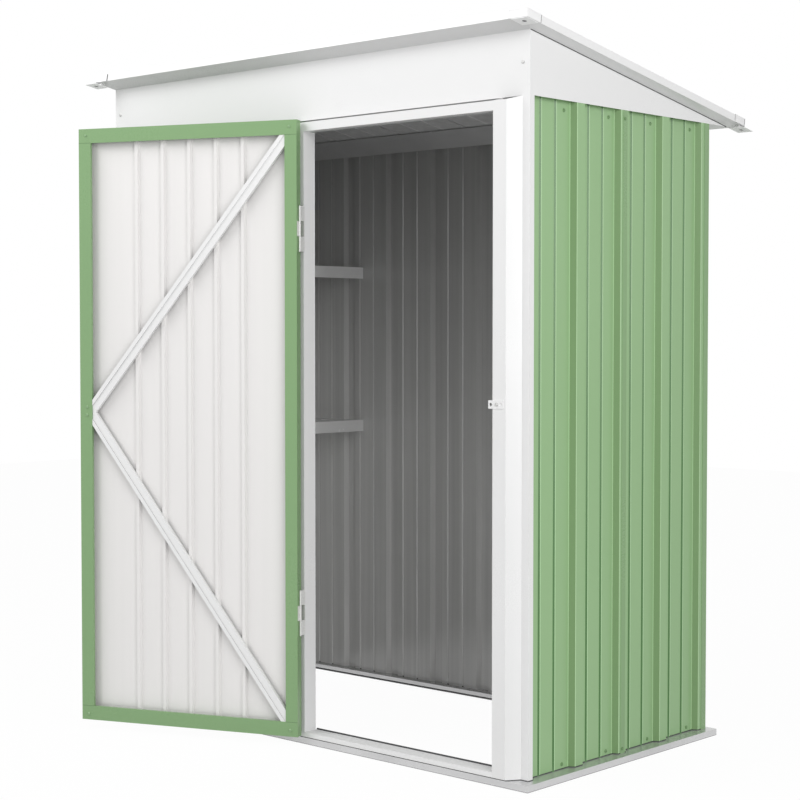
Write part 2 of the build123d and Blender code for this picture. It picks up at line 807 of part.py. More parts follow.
def brace_body(start, end, outer):
    """Section of a brace whose middle is at height start at the hinge stile and end at the lock stile.

    outer is 1 where the raised edge of its face is the upper one and -1 where it is the lower one.
    """
    run = (along * brace_span + Vector(0, 0, end - start)).normalized()
    foot = door_face_plane.from_local_coords(Vector(stile_hinge_end, start, 0)) - run * brace_spare
    section_plane = Plane(origin=foot, x_dir=run.cross(inward), z_dir=run)
    return folded([(outer * x, y) for x, y in brace_line], outer * door_sheet, section_plane)


def brace_window(low, high):
    """Area inside the door's frame that a brace keeps, between two heights."""
    with BuildSketch(door_face_plane) as area:
        with Locations((stile_hinge_end + brace_span / 2, (low + high) / 2)):
            Rectangle(brace_span, high - low)
    return area.sketch


brace_length = 2 * brace_spare + brace_high_inner - brace_low_inner
with BuildPart() as door_brace_upper:
    start = brace_high_inner - brace_corner_inset
    extrude(brace_body(start, brace_meeting + brace_end_rise, 1), amount=brace_length)
    extrude(brace_window(brace_meeting, brace_high_inner), amount=brace_depth, mode=Mode.INTERSECT)

with BuildPart() as door_brace_lower:
    start = brace_low_inner + brace_corner_inset
    extrude(brace_body(start, brace_meeting - brace_end_rise, -1), amount=brace_length)
    extrude(brace_window(brace_low_inner, brace_meeting), amount=brace_depth, mode=Mode.INTERSECT)

# Hinges: the frame's leaf carries the outer knuckles, the door's leaf the middle one
knuckle = (hinge_length - 2 * hinge_knuckle_gap) / 3
leaf_face = frame_front - hinge_sheet
arm_left = axis_x - hinge_knuckle_radius
arm_right = arm_left + hinge_sheet
leaf_left = arm_right - hinge_leaf_width
with BuildPart() as hinge_frame_leaves:
    for bottom in hinge_bottoms:
        with BuildSketch(Plane.XY.offset(bottom)):
            with Locations(((leaf_left + arm_right) / 2, (leaf_face + frame_front) / 2)):
                Rectangle(hinge_leaf_width, hinge_sheet)
        extrude(amount=hinge_length)
        for start in (bottom, bottom + hinge_length - knuckle):
            with BuildSketch(Plane.XY.offset(start)):
                with Locations(((arm_left + arm_right) / 2, (axis_y + leaf_face) / 2)):
                    Rectangle(hinge_sheet, leaf_face - axis_y)
                with Locations((axis_x, axis_y)):
                    Circle(hinge_knuckle_radius)
            extrude(amount=knuckle)

door_leaf_face = edge_a - hinge_sheet
with BuildPart() as hinge_door_leaves:
    for bottom in hinge_bottoms:
        middle_bottom = bottom + knuckle + hinge_knuckle_gap
        with BuildSketch(door_plan.offset(middle_bottom)):
            with Locations(((edge_a + door_leaf_face) / 2, 0)):
                Rectangle(hinge_sheet, door_leaf_width)
            Circle(hinge_knuckle_radius)
        extrude(amount=knuckle)

# Catch on the right post, with the hole that a padlock takes
catch_plane = Plane(origin=(0, frame_front, 0), x_dir=(1, 0, 0), z_dir=(0, -1, 0))
catch_middle = (catch_bottom + catch_top) / 2
with BuildPart() as latch_catch:
    with BuildSketch(catch_plane):
        with Locations((catch_left + catch_width / 2, catch_middle)):
            Rectangle(catch_width, catch_top - catch_bottom)
        for hole in (catch_left + catch_hole_inset, catch_right - catch_hole_inset):
            with Locations((hole, catch_middle)):
                Circle(catch_hole, mode=Mode.SUBTRACT)
    extrude(amount=catch_sheet)

# Handle on the door's outer face, over the two screws of the lock stile
handle_plane = Plane(origin=axis - inward * half_thick, x_dir=along, z_dir=-inward)
handle_middle = free_a - handle_from_edge
with BuildPart() as door_handle:
    with BuildSketch(handle_plane):
        with Locations((handle_middle, handle_screws_middle)):
            Rectangle(handle_plate_width, handle_length)
    extrude(amount=handle_plate)
    bar_reach = handle_length / 2 - handle_bar / 2
    with BuildSketch(handle_plane):
        for leg in (-bar_reach, bar_reach):
            with Locations((handle_middle, handle_screws_middle + leg)):
                Rectangle(handle_bar, handle_bar)
    extrude(amount=handle_reach)
    with BuildSketch(handle_plane.offset(handle_reach - handle_bar)):
        with Locations((handle_middle, handle_screws_middle)):
            Rectangle(handle_bar, handle_length)
    extrude(amount=handle_bar)

pieces = {
    "base_rail_front": base_rail_front,
    "base_rail_back": base_rail_back,
    "base_rail_left": base_rail_left,
    "base_rail_right": base_rail_right,
    "corner_post_left": corner_post_left,
    "corner_post_right": corner_post_right,
    "back_corner_angles": back_corner_angles,
    "door_jamb": door_jamb,
    "door_sill": door_sill,
    "door_lintel": door_lintel,
    "front_panel_outer": front_panel_outer,
    "front_panel_inner": front_panel_inner,
    "left_panel_front": left_panel_front,
    "left_panel_back": left_panel_back,
    "right_panel_front": right_panel_front,
    "right_panel_back": right_panel_back,
    "back_panel_left": back_panel_left,
    "back_panel_middle": back_panel_middle,
    "back_panel_right": back_panel_right,
    "top_rails_across": top_rails_across,
    "top_rails_side": top_rails_side,
    "fascia_front": fascia_front,
    "fascia_left": fascia_left,
    "fascia_right": fascia_right,
    "roof_trim_front": roof_trim_front,
    "roof_trim_back": roof_trim_back,
    "roof_trims_side": roof_trims_side,
    "roof_panel_left": roof_panel_left,
    "roof_panel_middle": roof_panel_middle,
    "roof_panel_right": roof_panel_right,
    "roof_corner_plates": roof_corner_plates,
    "shelf_upper": shelf_upper,
    "shelf_lower": shelf_lower,
    "shelf_brackets": shelf_brackets,
    "door_stile_hinge": door_stile_hinge,
    "door_stile_lock": door_stile_lock,
    "door_rail_top": door_rail_top,
    "door_rail_bottom": door_rail_bottom,
    "door_panel": door_panel,
    "door_brace_upper": door_brace_upper,
    "door_brace_lower": door_brace_lower,
    "hinge_frame_leaves": hinge_frame_leaves,
    "hinge_door_leaves": hinge_door_leaves,
    "latch_catch": latch_catch,
    "door_handle": door_handle,
}
for name, piece in pieces.items():
    piece.part.label = name
    export_step(piece.part, f"parts/{name}.step")
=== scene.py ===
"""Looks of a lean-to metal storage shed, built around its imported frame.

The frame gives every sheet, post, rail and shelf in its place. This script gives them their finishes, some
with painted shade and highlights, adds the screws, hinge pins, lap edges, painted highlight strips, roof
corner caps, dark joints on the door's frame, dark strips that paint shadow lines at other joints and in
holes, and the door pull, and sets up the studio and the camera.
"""

import json
import logging
import math
from dataclasses import dataclass
from enum import Enum

import bmesh
import bpy
from mathutils import Matrix, Vector

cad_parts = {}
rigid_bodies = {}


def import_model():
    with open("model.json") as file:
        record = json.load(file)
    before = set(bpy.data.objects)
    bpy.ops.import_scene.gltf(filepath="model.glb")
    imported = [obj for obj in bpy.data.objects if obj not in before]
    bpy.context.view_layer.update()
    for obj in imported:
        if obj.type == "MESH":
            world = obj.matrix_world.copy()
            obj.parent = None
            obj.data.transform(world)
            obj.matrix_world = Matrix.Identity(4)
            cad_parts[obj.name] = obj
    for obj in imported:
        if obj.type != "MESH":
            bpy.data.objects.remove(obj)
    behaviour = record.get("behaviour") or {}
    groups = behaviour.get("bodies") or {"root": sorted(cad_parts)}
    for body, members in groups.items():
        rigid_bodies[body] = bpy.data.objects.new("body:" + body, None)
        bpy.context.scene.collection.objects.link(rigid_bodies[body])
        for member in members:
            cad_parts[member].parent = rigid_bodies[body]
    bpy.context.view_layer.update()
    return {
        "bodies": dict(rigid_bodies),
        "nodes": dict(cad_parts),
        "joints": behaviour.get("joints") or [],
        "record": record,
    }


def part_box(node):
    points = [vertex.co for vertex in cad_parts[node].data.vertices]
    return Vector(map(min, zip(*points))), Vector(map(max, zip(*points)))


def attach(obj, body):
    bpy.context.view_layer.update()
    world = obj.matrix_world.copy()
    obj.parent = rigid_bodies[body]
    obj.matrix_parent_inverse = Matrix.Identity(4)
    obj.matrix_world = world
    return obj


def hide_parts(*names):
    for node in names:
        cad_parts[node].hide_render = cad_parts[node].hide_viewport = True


MM = 0.001
SIDES = (-1, 1)
LOG = logging.getLogger("shed")

Colour = tuple[float, float, float]
Direction = tuple[float, float, float]
Nodes = dict[str, bpy.types.Object]
Ring = list[bmesh.types.BMVert]


class Body(Enum):
    """Bodies of the frame that a piece can ride on."""

    SHED = "shed"
    DOOR = "door"


class Slot(Enum):
    """Material slots of the record."""

    GREEN = "green_paint"
    WHITE = "white_paint"
    STEEL = "hinge_steel"
    BLACK = "handle_black"


# ---- Shader maths


class Wire:
    """An output socket that takes part in Python expressions."""

    def __init__(self, tree: "ShaderTree", socket: bpy.types.NodeSocket | None) -> None:
        """Keeps the tree that new nodes go to, and the socket."""
        self.tree = tree
        self.socket = socket

    def _join(self, operation: str, first: "Wire | float", second: "Wire | float") -> "Wire":
        """Adds the Math node of one operation."""
        return self.tree.node("ShaderNodeMath", {"operation": operation}, {0: first, 1: second})

    def __add__(self, other: "Wire | float") -> "Wire":
        """Sum."""
        return self._join("ADD", self, other)

    __radd__ = __add__

    def __sub__(self, other: "Wire | float") -> "Wire":
        """Difference."""
        return self._join("SUBTRACT", self, other)

    def __rsub__(self, other: "Wire | float") -> "Wire":
        """Difference, with this wire taken away."""
        return self._join("SUBTRACT", other, self)

    def __mul__(self, other: "Wire | float") -> "Wire":
        """Product."""
        return self._join("MULTIPLY", self, other)

    __rmul__ = __mul__

    def __gt__(self, other: "Wire | float") -> "Wire":
        """One where this wire is the larger, and zero elsewhere."""
        return self._join("GREATER_THAN", self, other)

    def __lt__(self, other: "Wire | float") -> "Wire":
        """One where this wire is the smaller, and zero elsewhere."""
        return self._join("LESS_THAN", self, other)


class ShaderTree:
    """A node tree that is filled through one method."""

    def __init__(self, tree: bpy.types.NodeTree) -> None:
        """Takes an existing tree and empties it."""
        self.tree = tree
        self.tree.nodes.clear()

    def node(
        self,
        kind: str,
        settings: dict[str, object] | None = None,
        sockets: dict[int | str, object] | None = None,
        output: int | str = 0,
    ) -> Wire:
        """Adds one node.

        Args:
            kind: the node's type.
            settings: attributes that are set first; "stops" are a ramp's stops as (place, colour).
            sockets: values or wires of the input sockets, by number or name.
            output: the output socket that is returned.

        Returns:
            The chosen output.
        """
        node = self.tree.nodes.new(kind)
        for name, value in (settings or {}).items():
            if name == "stops":
                self._set_stops(node.color_ramp, value)
            else:
                setattr(node, name, value)
        for name, value in (sockets or {}).items():
            if isinstance(value, Wire):
                self.tree.links.new(value.socket, node.inputs[name])
            else:
                node.inputs[name].default_value = value
        return Wire(self, node.outputs[output] if len(node.outputs) else None)

    @staticmethod
    def _set_stops(ramp: bpy.types.ColorRamp, stops: list[tuple[float, Colour]]) -> None:
        """Gives a ramp its stops.

        Args:
            ramp: the ramp.
            stops: place and colour of each stop, in order.
        """
        while len(ramp.elements) < len(stops):
            ramp.elements.new(1.0)
        for element, (place, colour) in zip(ramp.elements, stops):
            element.position = place
            element.color = (*colour, 1.0)

    def place(self) -> Wire:
        """Position in the object's own space, which the bodies carry along."""
        return self.node("ShaderNodeTexCoord", output="Object")

    def height(self) -> Wire:
        """Height in the object's own space, in metres."""
        return self.node("ShaderNodeSeparateXYZ", {}, {"Vector": self.place()}, "Z")

    def facing(self, direction: Direction) -> Wire:
        """How much the surface faces a direction of the object's own space, from -1 to 1."""
        sockets = {0: self.node("ShaderNodeTexCoord", output="Normal"), 1: direction}
        return self.node("ShaderNodeVectorMath", {"operation": "DOT_PRODUCT"}, sockets, "Value")

    def stretched(self, factors: Direction) -> Wire:
        """Position, scaled along each axis."""
        return self.node("ShaderNodeVectorMath", {"operation": "MULTIPLY"}, {0: self.place(), 1: factors})

    def noise(self, scale: float, detail: float = 2.0, where: Wire | None = None) -> Wire:
        """Smooth noise from 0 to 1.

        Args:
            scale: cells per metre.
            detail: octaves.
            where: position, or None for the object's own.

        Returns:
            The noise's value.
        """
        sockets = {"Vector": where or self.place(), "Scale": scale, "Detail": detail}
        return self.node("ShaderNodeTexNoise", {}, sockets, "Fac")

    def mix(self, share: Wire | float, first: Wire | Colour, second: Wire | Colour) -> Wire:
        """Mix of two colours.

        Args:
            share: share of the second colour.
            first: first colour or link.
            second: second colour or link.

        Returns:
            The mixed colour.
        """
        first = (*first, 1.0) if isinstance(first, tuple) else first
        second = (*second, 1.0) if isinstance(second, tuple) else second
        return self.node("ShaderNodeMix", {"data_type": "RGBA"}, {0: share, 6: first, 7: second}, 2)

    def bump(self, height: Wire, depth: float, under: Wire | None = None) -> Wire:
        """Bumped normal.

        Args:
            height: height from 0 to 1.
            depth: height of 1 in metres.
            under: normal that this bump lies on.

        Returns:
            The normal.
        """
        sockets = {"Height": height, "Distance": depth, "Strength": 1.0}
        if under is not None:
            sockets["Normal"] = under
        return self.node("ShaderNodeBump", {}, sockets, "Normal")

    def principled(self, sockets: dict[str, object]) -> Wire:
        """Principled shader with the given sockets."""
        return self.node("ShaderNodeBsdfPrincipled", {}, sockets)


def toned(colour: Colour, share: float) -> Colour:
    """A colour times a share."""
    return tuple(channel * share for channel in colour)


# ---- Finishes


@dataclass(frozen=True)
class Finish:
    """A surface finish. Each kind fills its own shader."""

    name: str

    def surface(self, tree: ShaderTree) -> Wire:
        """Adds the finish's nodes and returns its shader."""
        raise NotImplementedError

    def material(self) -> bpy.types.Material:
        """Makes the finish's material.

        Returns:
            The material, made once for each name.
        """
        made = bpy.data.materials.get(self.name)
        if made is None:
            made = bpy.data.materials.new(self.name)
            made.use_nodes = True
            tree = ShaderTree(made.node_tree)
            tree.node("ShaderNodeOutputMaterial", {}, {"Surface": self.surface(tree)})
        return made


@dataclass(frozen=True)
class SheetCoat(Finish):
    """Coil-coated steel sheet: one colour outside, with painted shade and highlight on the slopes of its
    folds, and a backing coat.

    A face that looks outward by more than flat_limit is flat, by more than bead_limit a slope of the slim
    beads, and by less one of the ridges' flanks. The flanks and beads carry painted shade, and a painted
    highlight makes the slopes on the lit side brighter. Painted shade darkens the backing from shade_start
    up.
    """

    outward: Direction
    outside: Colour
    # painted shade on the ridges' flanks
    flank_shade: Colour
    inside: Colour
    # deeper painted shade on the beads, as shares of the flanks' colour
    bead_shade_share: Colour = (0.72, 0.72, 0.72)
    flat_limit: float = 0.93
    bead_limit: float = 0.65
    # painted highlight on the slopes of the lit side
    lit_gain: float = 1.35
    lit_most: float = 0.9
    roughness: float = 0.30
    inner_roughness: float = 0.17
    cloud_roughness: float = 0.07
    refraction: float = 1.6
    stain: float = 0.78
    cloud_scale: float = 2.6
    cloud_share: float = 0.16
    streak_stretch: Direction = (55.0, 55.0, 0.8)
    streak_share: float = 0.10
    streaking: float = 0.16
    # painted shade on the backing from shade_start up
    top_shade: float = 0.0
    shade_start: float = 0.7
    peel_scale: float = 520.0
    peel_depth: float = 0.02 * MM
    wave_scale: float = 5.0
    wave_stretch: Direction = (1.0, 1.0, 0.45)
    wave_depth: float = 1.2 * MM

    def surface(self, tree: ShaderTree) -> Wire:
        """Adds the sheet's nodes.

        Args:
            tree: the material's tree.

        Returns:
            The shader.
        """
        facing = tree.facing(self.outward)
        outer = facing > 0.0
        cloud = tree.noise(self.cloud_scale, 3.0)
        streaks = tree.noise(1.0, 3.0, tree.stretched(self.streak_stretch))
        stained = cloud * self.cloud_share + streaks * self.streak_share
        front = tree.mix(stained, self._folds(tree, facing, outer), toned(self.outside, self.stain))
        peel = tree.noise(self.peel_scale, 2.0)
        waves = tree.noise(self.wave_scale, 1.0, tree.stretched(self.wave_stretch))
        outer_roughness = (self.roughness - self.inner_roughness) * outer
        return tree.principled({
            "Base Color": tree.mix(outer, self._backing(tree, streaks), front),
            "Roughness": self.inner_roughness + outer_roughness + self.cloud_roughness * cloud,
            "IOR": self.refraction,
            "Normal": tree.bump(peel, self.peel_depth, tree.bump(waves, self.wave_depth)),
        })

    def _folds(self, tree: ShaderTree, facing: Wire, outer: Wire) -> Wire:
        """Adds the outside colour of the flats, with painted shade on the flanks and beads and a painted
        highlight on the slopes of the lit side.

        Args:
            tree: the material's tree.
            facing: how much the surface faces outward.
            outer: one on the outer side.

        Returns:
            The colour.
        """
        shaded_side = (self.outward[1], -self.outward[0], 0.0)
        sloping = outer * (facing < self.flat_limit)
        beaded = sloping * (facing > self.bead_limit)
        # slopes on the lit side get a painted highlight, the others painted shade, deeper on the beads
        lit = sloping * (tree.facing(shaded_side) < 0.0)
        shaded_bead = tuple(channel * share for channel, share in zip(self.flank_shade, self.bead_shade_share))
        lit_highlight = tuple(min(channel, self.lit_most) for channel in toned(self.outside, self.lit_gain))
        slopes = tree.mix(lit, tree.mix(beaded, self.flank_shade, shaded_bead), lit_highlight)
        return tree.mix(sloping, self.outside, slopes)

    def _backing(self, tree: ShaderTree, streaks: Wire) -> Wire:
        """Adds the inner side's colour, with painted shade towards the top.

        Args:
            tree: the material's tree.
            streaks: noise along the sheet.

        Returns:
            The colour.
        """
        dark, light = toned(self.inside, 1.0 - self.streaking), toned(self.inside, 1.0 + self.streaking)
        # painted shade darkens the backing from shade_start up
        rise = tree.node("ShaderNodeClamp", {}, {"Value": tree.height() - self.shade_start})
        return tree.mix(rise * self.top_shade, tree.mix(streaks, dark, light), (0.0, 0.0, 0.0))


@dataclass(frozen=True)
class GlossCoat(Finish):
    """White or green gloss coat on folded trims, with optional painted shade on faces that look down."""

    colour: Colour
    roughness: float = 0.22
    shine: float = 0.5
    # painted shade on faces that look down
    underside_shade: float = 1.0
    underside_shade_limit: float = 0.5
    shade: float = 0.9
    cloud_scale: float = 3.1
    cloud_share: float = 0.25
    cloud_roughness: float = 0.08
    peel_scale: float = 480.0
    peel_roughness: float = 0.05
    peel_depth: float = 0.015 * MM
    wave_scale: float = 6.0
    wave_depth: float = 0.6 * MM

    def surface(self, tree: ShaderTree) -> Wire:
        """Adds the coat's nodes.

        Args:
            tree: the material's tree.

        Returns:
            The shader.
        """
        cloud = tree.noise(self.cloud_scale, 3.0)
        peel = tree.noise(self.peel_scale, 2.0)
        waves = tree.noise(self.wave_scale, 1.0)
        colour = tree.mix(cloud * self.cloud_share, self.colour, toned(self.colour, self.shade))
        if self.underside_shade < 1.0:
            # faces that look down get painted shade
            shaded_below = tree.facing((0.0, 0.0, -1.0)) > self.underside_shade_limit
            colour = tree.mix(shaded_below, colour, toned(self.colour, self.underside_shade))
        return tree.principled({
            "Base Color": colour,
            "Roughness": self.roughness + self.cloud_roughness * cloud + self.peel_roughness * peel,
            "Specular IOR Level": self.shine,
            "Normal": tree.bump(peel, self.peel_depth, tree.bump(waves, self.wave_depth)),
        })


@dataclass(frozen=True)
class Galvanised(Finish):
    """Zinc-coated steel with its spangle, and painted contact shadow on its faces next to the ground."""

    dark: Colour = (0.56, 0.56, 0.565)
    light: Colour = (0.66, 0.66, 0.665)
    metallic: float = 0.6
    tone_range: tuple[float, float] = (0.2, 0.8)
    spangle_scale: float = 90.0
    spangle_share: float = 0.05
    warp_scale: float = 40.0
    warp_reach: float = 4 * MM
    cloud_scale: float = 7.0
    # painted contact shadow along the ground
    contact_shadow_height: float = 1.1 * MM
    contact_shadow_share: float = 0.25
    roughness: float = 0.24
    cloud_roughness: float = 0.05
    wave_scale: float = 9.0
    wave_depth: float = 0.4 * MM

    def surface(self, tree: ShaderTree) -> Wire:
        """Adds the zinc's nodes.

        Args:
            tree: the material's tree.

        Returns:
            The shader.
        """
        place, reach = tree.place(), (self.warp_reach,) * 3
        swirl = tree.node("ShaderNodeTexNoise", {}, {"Vector": place, "Scale": self.warp_scale}, "Color")
        warp = tree.node(
            "ShaderNodeVectorMath", {"operation": "MULTIPLY_ADD"}, {0: swirl, 1: reach, 2: place}
        )
        cells = tree.node("ShaderNodeTexVoronoi", {}, {"Vector": warp, "Scale": self.spangle_scale}, "Color")
        flake = tree.node("ShaderNodeSeparateColor", {}, {"Color": cells}, 0)
        cloud = tree.noise(self.cloud_scale, 4.0)
        tone = flake * self.spangle_share + cloud
        stops = list(zip(self.tone_range, (self.dark, self.light)))
        zinc = tree.node("ShaderNodeValToRGB", {"stops": stops}, {"Fac": tone}, "Color")
        return tree.principled({
            # the lowest millimetre gets painted contact shadow
            "Base Color": tree.mix(tree.height() < self.contact_shadow_height, zinc, toned(self.dark, self.contact_shadow_share)),
            "Metallic": self.metallic,
            "Roughness": self.roughness + self.cloud_roughness * cloud,
            "Normal": tree.bump(tree.noise(self.wave_scale, 1.0), self.wave_depth),
        })


@dataclass(frozen=True)
class Plated(Finish):
    """Bright zinc plating on screws, pins and hinges."""

    colour: Colour = (0.66, 0.66, 0.65)
    roughness: float = 0.28
    metallic: float = 0.95
    shade: float = 0.72
    cloud_scale: float = 240.0
    scratch_scale: float = 30.0
    scratch_stretch: Direction = (30.0, 30.0, 1.0)
    scratch_roughness: float = 0.18
    scratch_depth: float = 0.01 * MM

    def surface(self, tree: ShaderTree) -> Wire:
        """Adds the plating's nodes.

        Args:
            tree: the material's tree.

        Returns:
            The shader.
        """
        cloud = tree.noise(self.cloud_scale, 3.0)
        scratch = tree.noise(self.scratch_scale, 4.0, tree.stretched(self.scratch_stretch))
        return tree.principled({
            "Base Color": tree.mix(cloud, self.colour, toned(self.colour, self.shade)),
            "Metallic": self.metallic,
            "Roughness": self.roughness + self.scratch_roughness * scratch,
            "Normal": tree.bump(scratch, self.scratch_depth),
        })


@dataclass(frozen=True)
class BlackCoat(Finish):
    """Textured black coat of the door pull, and black rubber, which also paints dark shadow lines at joints
    and in holes.
    """

    colour: Colour = (0.035, 0.036, 0.038)
    worn: Colour = (0.085, 0.086, 0.088)
    wear_scale: float = 60.0
    wear_share: float = 0.5
    roughness: float = 0.42
    grain_scale: float = 1400.0
    grain_roughness: float = 0.2
    grain_depth: float = 0.06 * MM

    def surface(self, tree: ShaderTree) -> Wire:
        """Adds the coat's nodes.

        Args:
            tree: the material's tree.

        Returns:
            The shader.
        """
        grain = tree.noise(self.grain_scale, 3.0)
        wear = tree.noise(self.wear_scale, 4.0)
        return tree.principled({
            "Base Color": tree.mix(wear * self.wear_share, self.colour, self.worn),
            "Roughness": self.roughness + self.grain_roughness * grain,
            "Normal": tree.bump(grain, self.grain_depth),
        })


@dataclass(frozen=True)
class StudioFloor(Finish):
    """White floor that the camera and reflections see as white, with the shed's shadow kept."""

    lit: Colour = (0.92, 0.92, 0.92)
    bounce: Colour = (0.64, 0.64, 0.64)
    white_share: float = 0.97
    roughness: float = 0.8

    def surface(self, tree: ShaderTree) -> Wire:
        """Adds the floor's nodes.

        Args:
            tree: the material's tree.

        Returns:
            The shader.
        """
        seen = seen_rays(tree)
        colour = tree.mix(seen, self.bounce, self.lit)
        matt = tree.principled({"Base Color": colour, "Roughness": self.roughness})
        glow = tree.node("ShaderNodeEmission", {}, {"Color": (1.0, 1.0, 1.0, 1.0), "Strength": 1.0})
        return tree.node("ShaderNodeMixShader", {}, {0: seen * self.white_share, 1: matt, 2: glow})


def seen_rays(tree: ShaderTree) -> Wire:
    """Finds the rays that show the background.

    Args:
        tree: the tree that gets the nodes.

    Returns:
        One for camera, glossy and transmission rays, and zero for the rest.
    """
    kinds = ("Camera", "Glossy", "Transmission")
    camera, glossy, through = (tree.node("ShaderNodeLightPath", output=f"Is {kind} Ray") for kind in kinds)
    return (camera + glossy + through) > 0.5


# ---- Mesh work


@dataclass(frozen=True)
class Spot:
    """A place on a surface, and the direction that its face looks."""

    place: Vector
    outward: Vector

    def matrix(self, turn: float = 0.0) -> Matrix:
        """Frame whose Z is the outward direction.

        Args:
            turn: turn about that direction in radians.

        Returns:
            The 4 x 4 matrix.
        """
        tilt = self.outward.to_track_quat("Z", "Y").to_matrix().to_4x4()
        return Matrix.Translation(self.place) @ tilt @ Matrix.Rotation(turn, 4, "Z")


def circle(radius: float, height: float, around: int) -> list[Vector]:
    """Corners of a level polygon about the Z axis.

    Args:
        radius: distance of its corners from the axis.
        height: height of its plane.
        around: number of corners.

    Returns:
        The corners in order.
    """
    turn = 2 * math.pi / around
    return [Vector((radius * math.cos(i * turn), radius * math.sin(i * turn), height)) for i in range(around)]


def rounded_square(half: float, radius: float, steps: int) -> list[Vector]:
    """Outline of a square with rounded corners.

    Args:
        half: half of its side.
        radius: radius of its corners.
        steps: segments of each corner.

    Returns:
        The points in order.
    """
    points: list[Vector] = []
    for quarter, (sx, sy) in enumerate(((1, 1), (-1, 1), (-1, -1), (1, -1))):
        for i in range(steps + 1):
            angle = math.pi / 2 * (quarter + i / steps)
            x = sx * (half - radius) + radius * math.cos(angle)
            y = sy * (half - radius) + radius * math.sin(angle)
            points.append(Vector((x, y, 0.0)))
    return points


def bridge(mesh: bmesh.types.BMesh, rings: list[Ring], closed: bool = True) -> None:
    """Adds the faces between rows of points.

    Args:
        mesh: mesh that holds the points.
        rings: the rows, all with the same number of points.
        closed: whether each row is a loop.
    """
    count = len(rings[0])
    for near, far in zip(rings, rings[1:]):
        for i in range(count if closed else count - 1):
            j = (i + 1) % count
            mesh.faces.new((near[i], near[j], far[j], far[i]))


def lathe(mesh: bmesh.types.BMesh, profile: list[tuple[float, float]], around: int, where: Matrix) -> None:
    """Adds a turned form.

    Args:
        mesh: mesh that it goes to.
        profile: radius and height of each ring in metres; a radius of zero closes the form.
        around: number of sides.
        where: frame of the form's axis.
    """
    rings: list[Ring] = []
    for radius, height in profile:
        points = circle(radius, height, around) if radius else [Vector((0.0, 0.0, height))]
        rings.append([mesh.verts.new(where @ point) for point in points])
    for low, high in zip(rings, rings[1:]):
        for i in range(around):
            j = (i + 1) % around
            corners = [low[i % len(low)], low[j % len(low)], high[j % len(high)], high[i % len(high)]]
            distinct = list(dict.fromkeys(corners))
            if len(distinct) > 2:
                mesh.faces.new(distinct)


def box_between(mesh: bmesh.types.BMesh, first: Vector, second: Vector, where: Matrix | None = None) -> None:
    """Adds a box.

    Args:
        mesh: mesh that it goes to.
        first: a corner in metres.
        second: the opposite corner.
        where: frame of the corners, or None for the shed's own.
    """
    size = second - first
    scale = Matrix.Diagonal((abs(size.x), abs(size.y), abs(size.z), 1.0))
    middle = Matrix.Translation((first + second) / 2)
    bmesh.ops.create_cube(mesh, size=1.0, matrix=(where or Matrix.Identity(4)) @ middle @ scale)


def swept(mesh: bmesh.types.BMesh, outline: list[Vector], path: list[Matrix]) -> None:
    """Adds a solid form that carries a closed outline along a path.

    Args:
        mesh: mesh that it goes to.
        outline: points of the section in the path's own frames.
        path: frames along the way.
    """
    rings = [[mesh.verts.new(frame @ point) for point in outline] for frame in path]
    bridge(mesh, rings)
    mesh.faces.new(list(reversed(rings[0])))
    mesh.faces.new(rings[-1])


def piece(
    mesh: bmesh.types.BMesh, name: str, finish: Finish, body: Body, smooth_angle: float = 35.0
) -> bpy.types.Object:
    """Turns a mesh into a piece that rides on a body.

    Args:
        mesh: the finished mesh, which is freed.
        name: the piece's name.
        finish: its finish.
        body: the body that it rides on.
        smooth_angle: edges under this angle in degrees are shaded smooth.

    Returns:
        The piece.
    """
    bmesh.ops.recalc_face_normals(mesh, faces=mesh.faces)
    for face in mesh.faces:
        face.smooth = True
    for edge in mesh.edges:
        edge.smooth = len(edge.link_faces) == 2 and edge.calc_face_angle() < math.radians(smooth_angle)
    data = bpy.data.meshes.new(name)
    mesh.to_mesh(data)
    mesh.free()
    data.materials.append(finish.material())
    made = bpy.data.objects.new(name, data)
    bpy.context.scene.collection.objects.link(made)
    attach(made, body.value)
    LOG.info("%s: %d faces on %s", name, len(data.polygons), body.value)
    return made


def assign(node: bpy.types.Object, finish: Finish) -> None:
    """Gives a node of the frame its finish, in every material slot."""
    for slot in node.material_slots:
        slot.material = finish.material()


@dataclass(frozen=True)
class FootShadowLine:
    """A thin dark strip that paints the shadow line between the base rails and what stands on them."""

    proud: float
    height: float
    sunk: float = 0.3 * MM
    let_in: float = 0.1 * MM

    def add(self, mesh: bmesh.types.BMesh, line: list[Vector]) -> None:
        """Adds an upright strip that stands proud on the right of a line.

        Args:
            mesh: mesh that gets the strip.
            line: points of the line.
        """
        for start, end in zip(line, line[1:]):
            run = end - start
            turn = Matrix.Translation(start) @ Matrix.Rotation(math.atan2(run.y, run.x), 4, "Z")
            far = Vector((run.length + self.proud, self.let_in, self.height))
            box_between(mesh, Vector((0.0, -self.proud, -self.sunk)), far, turn)


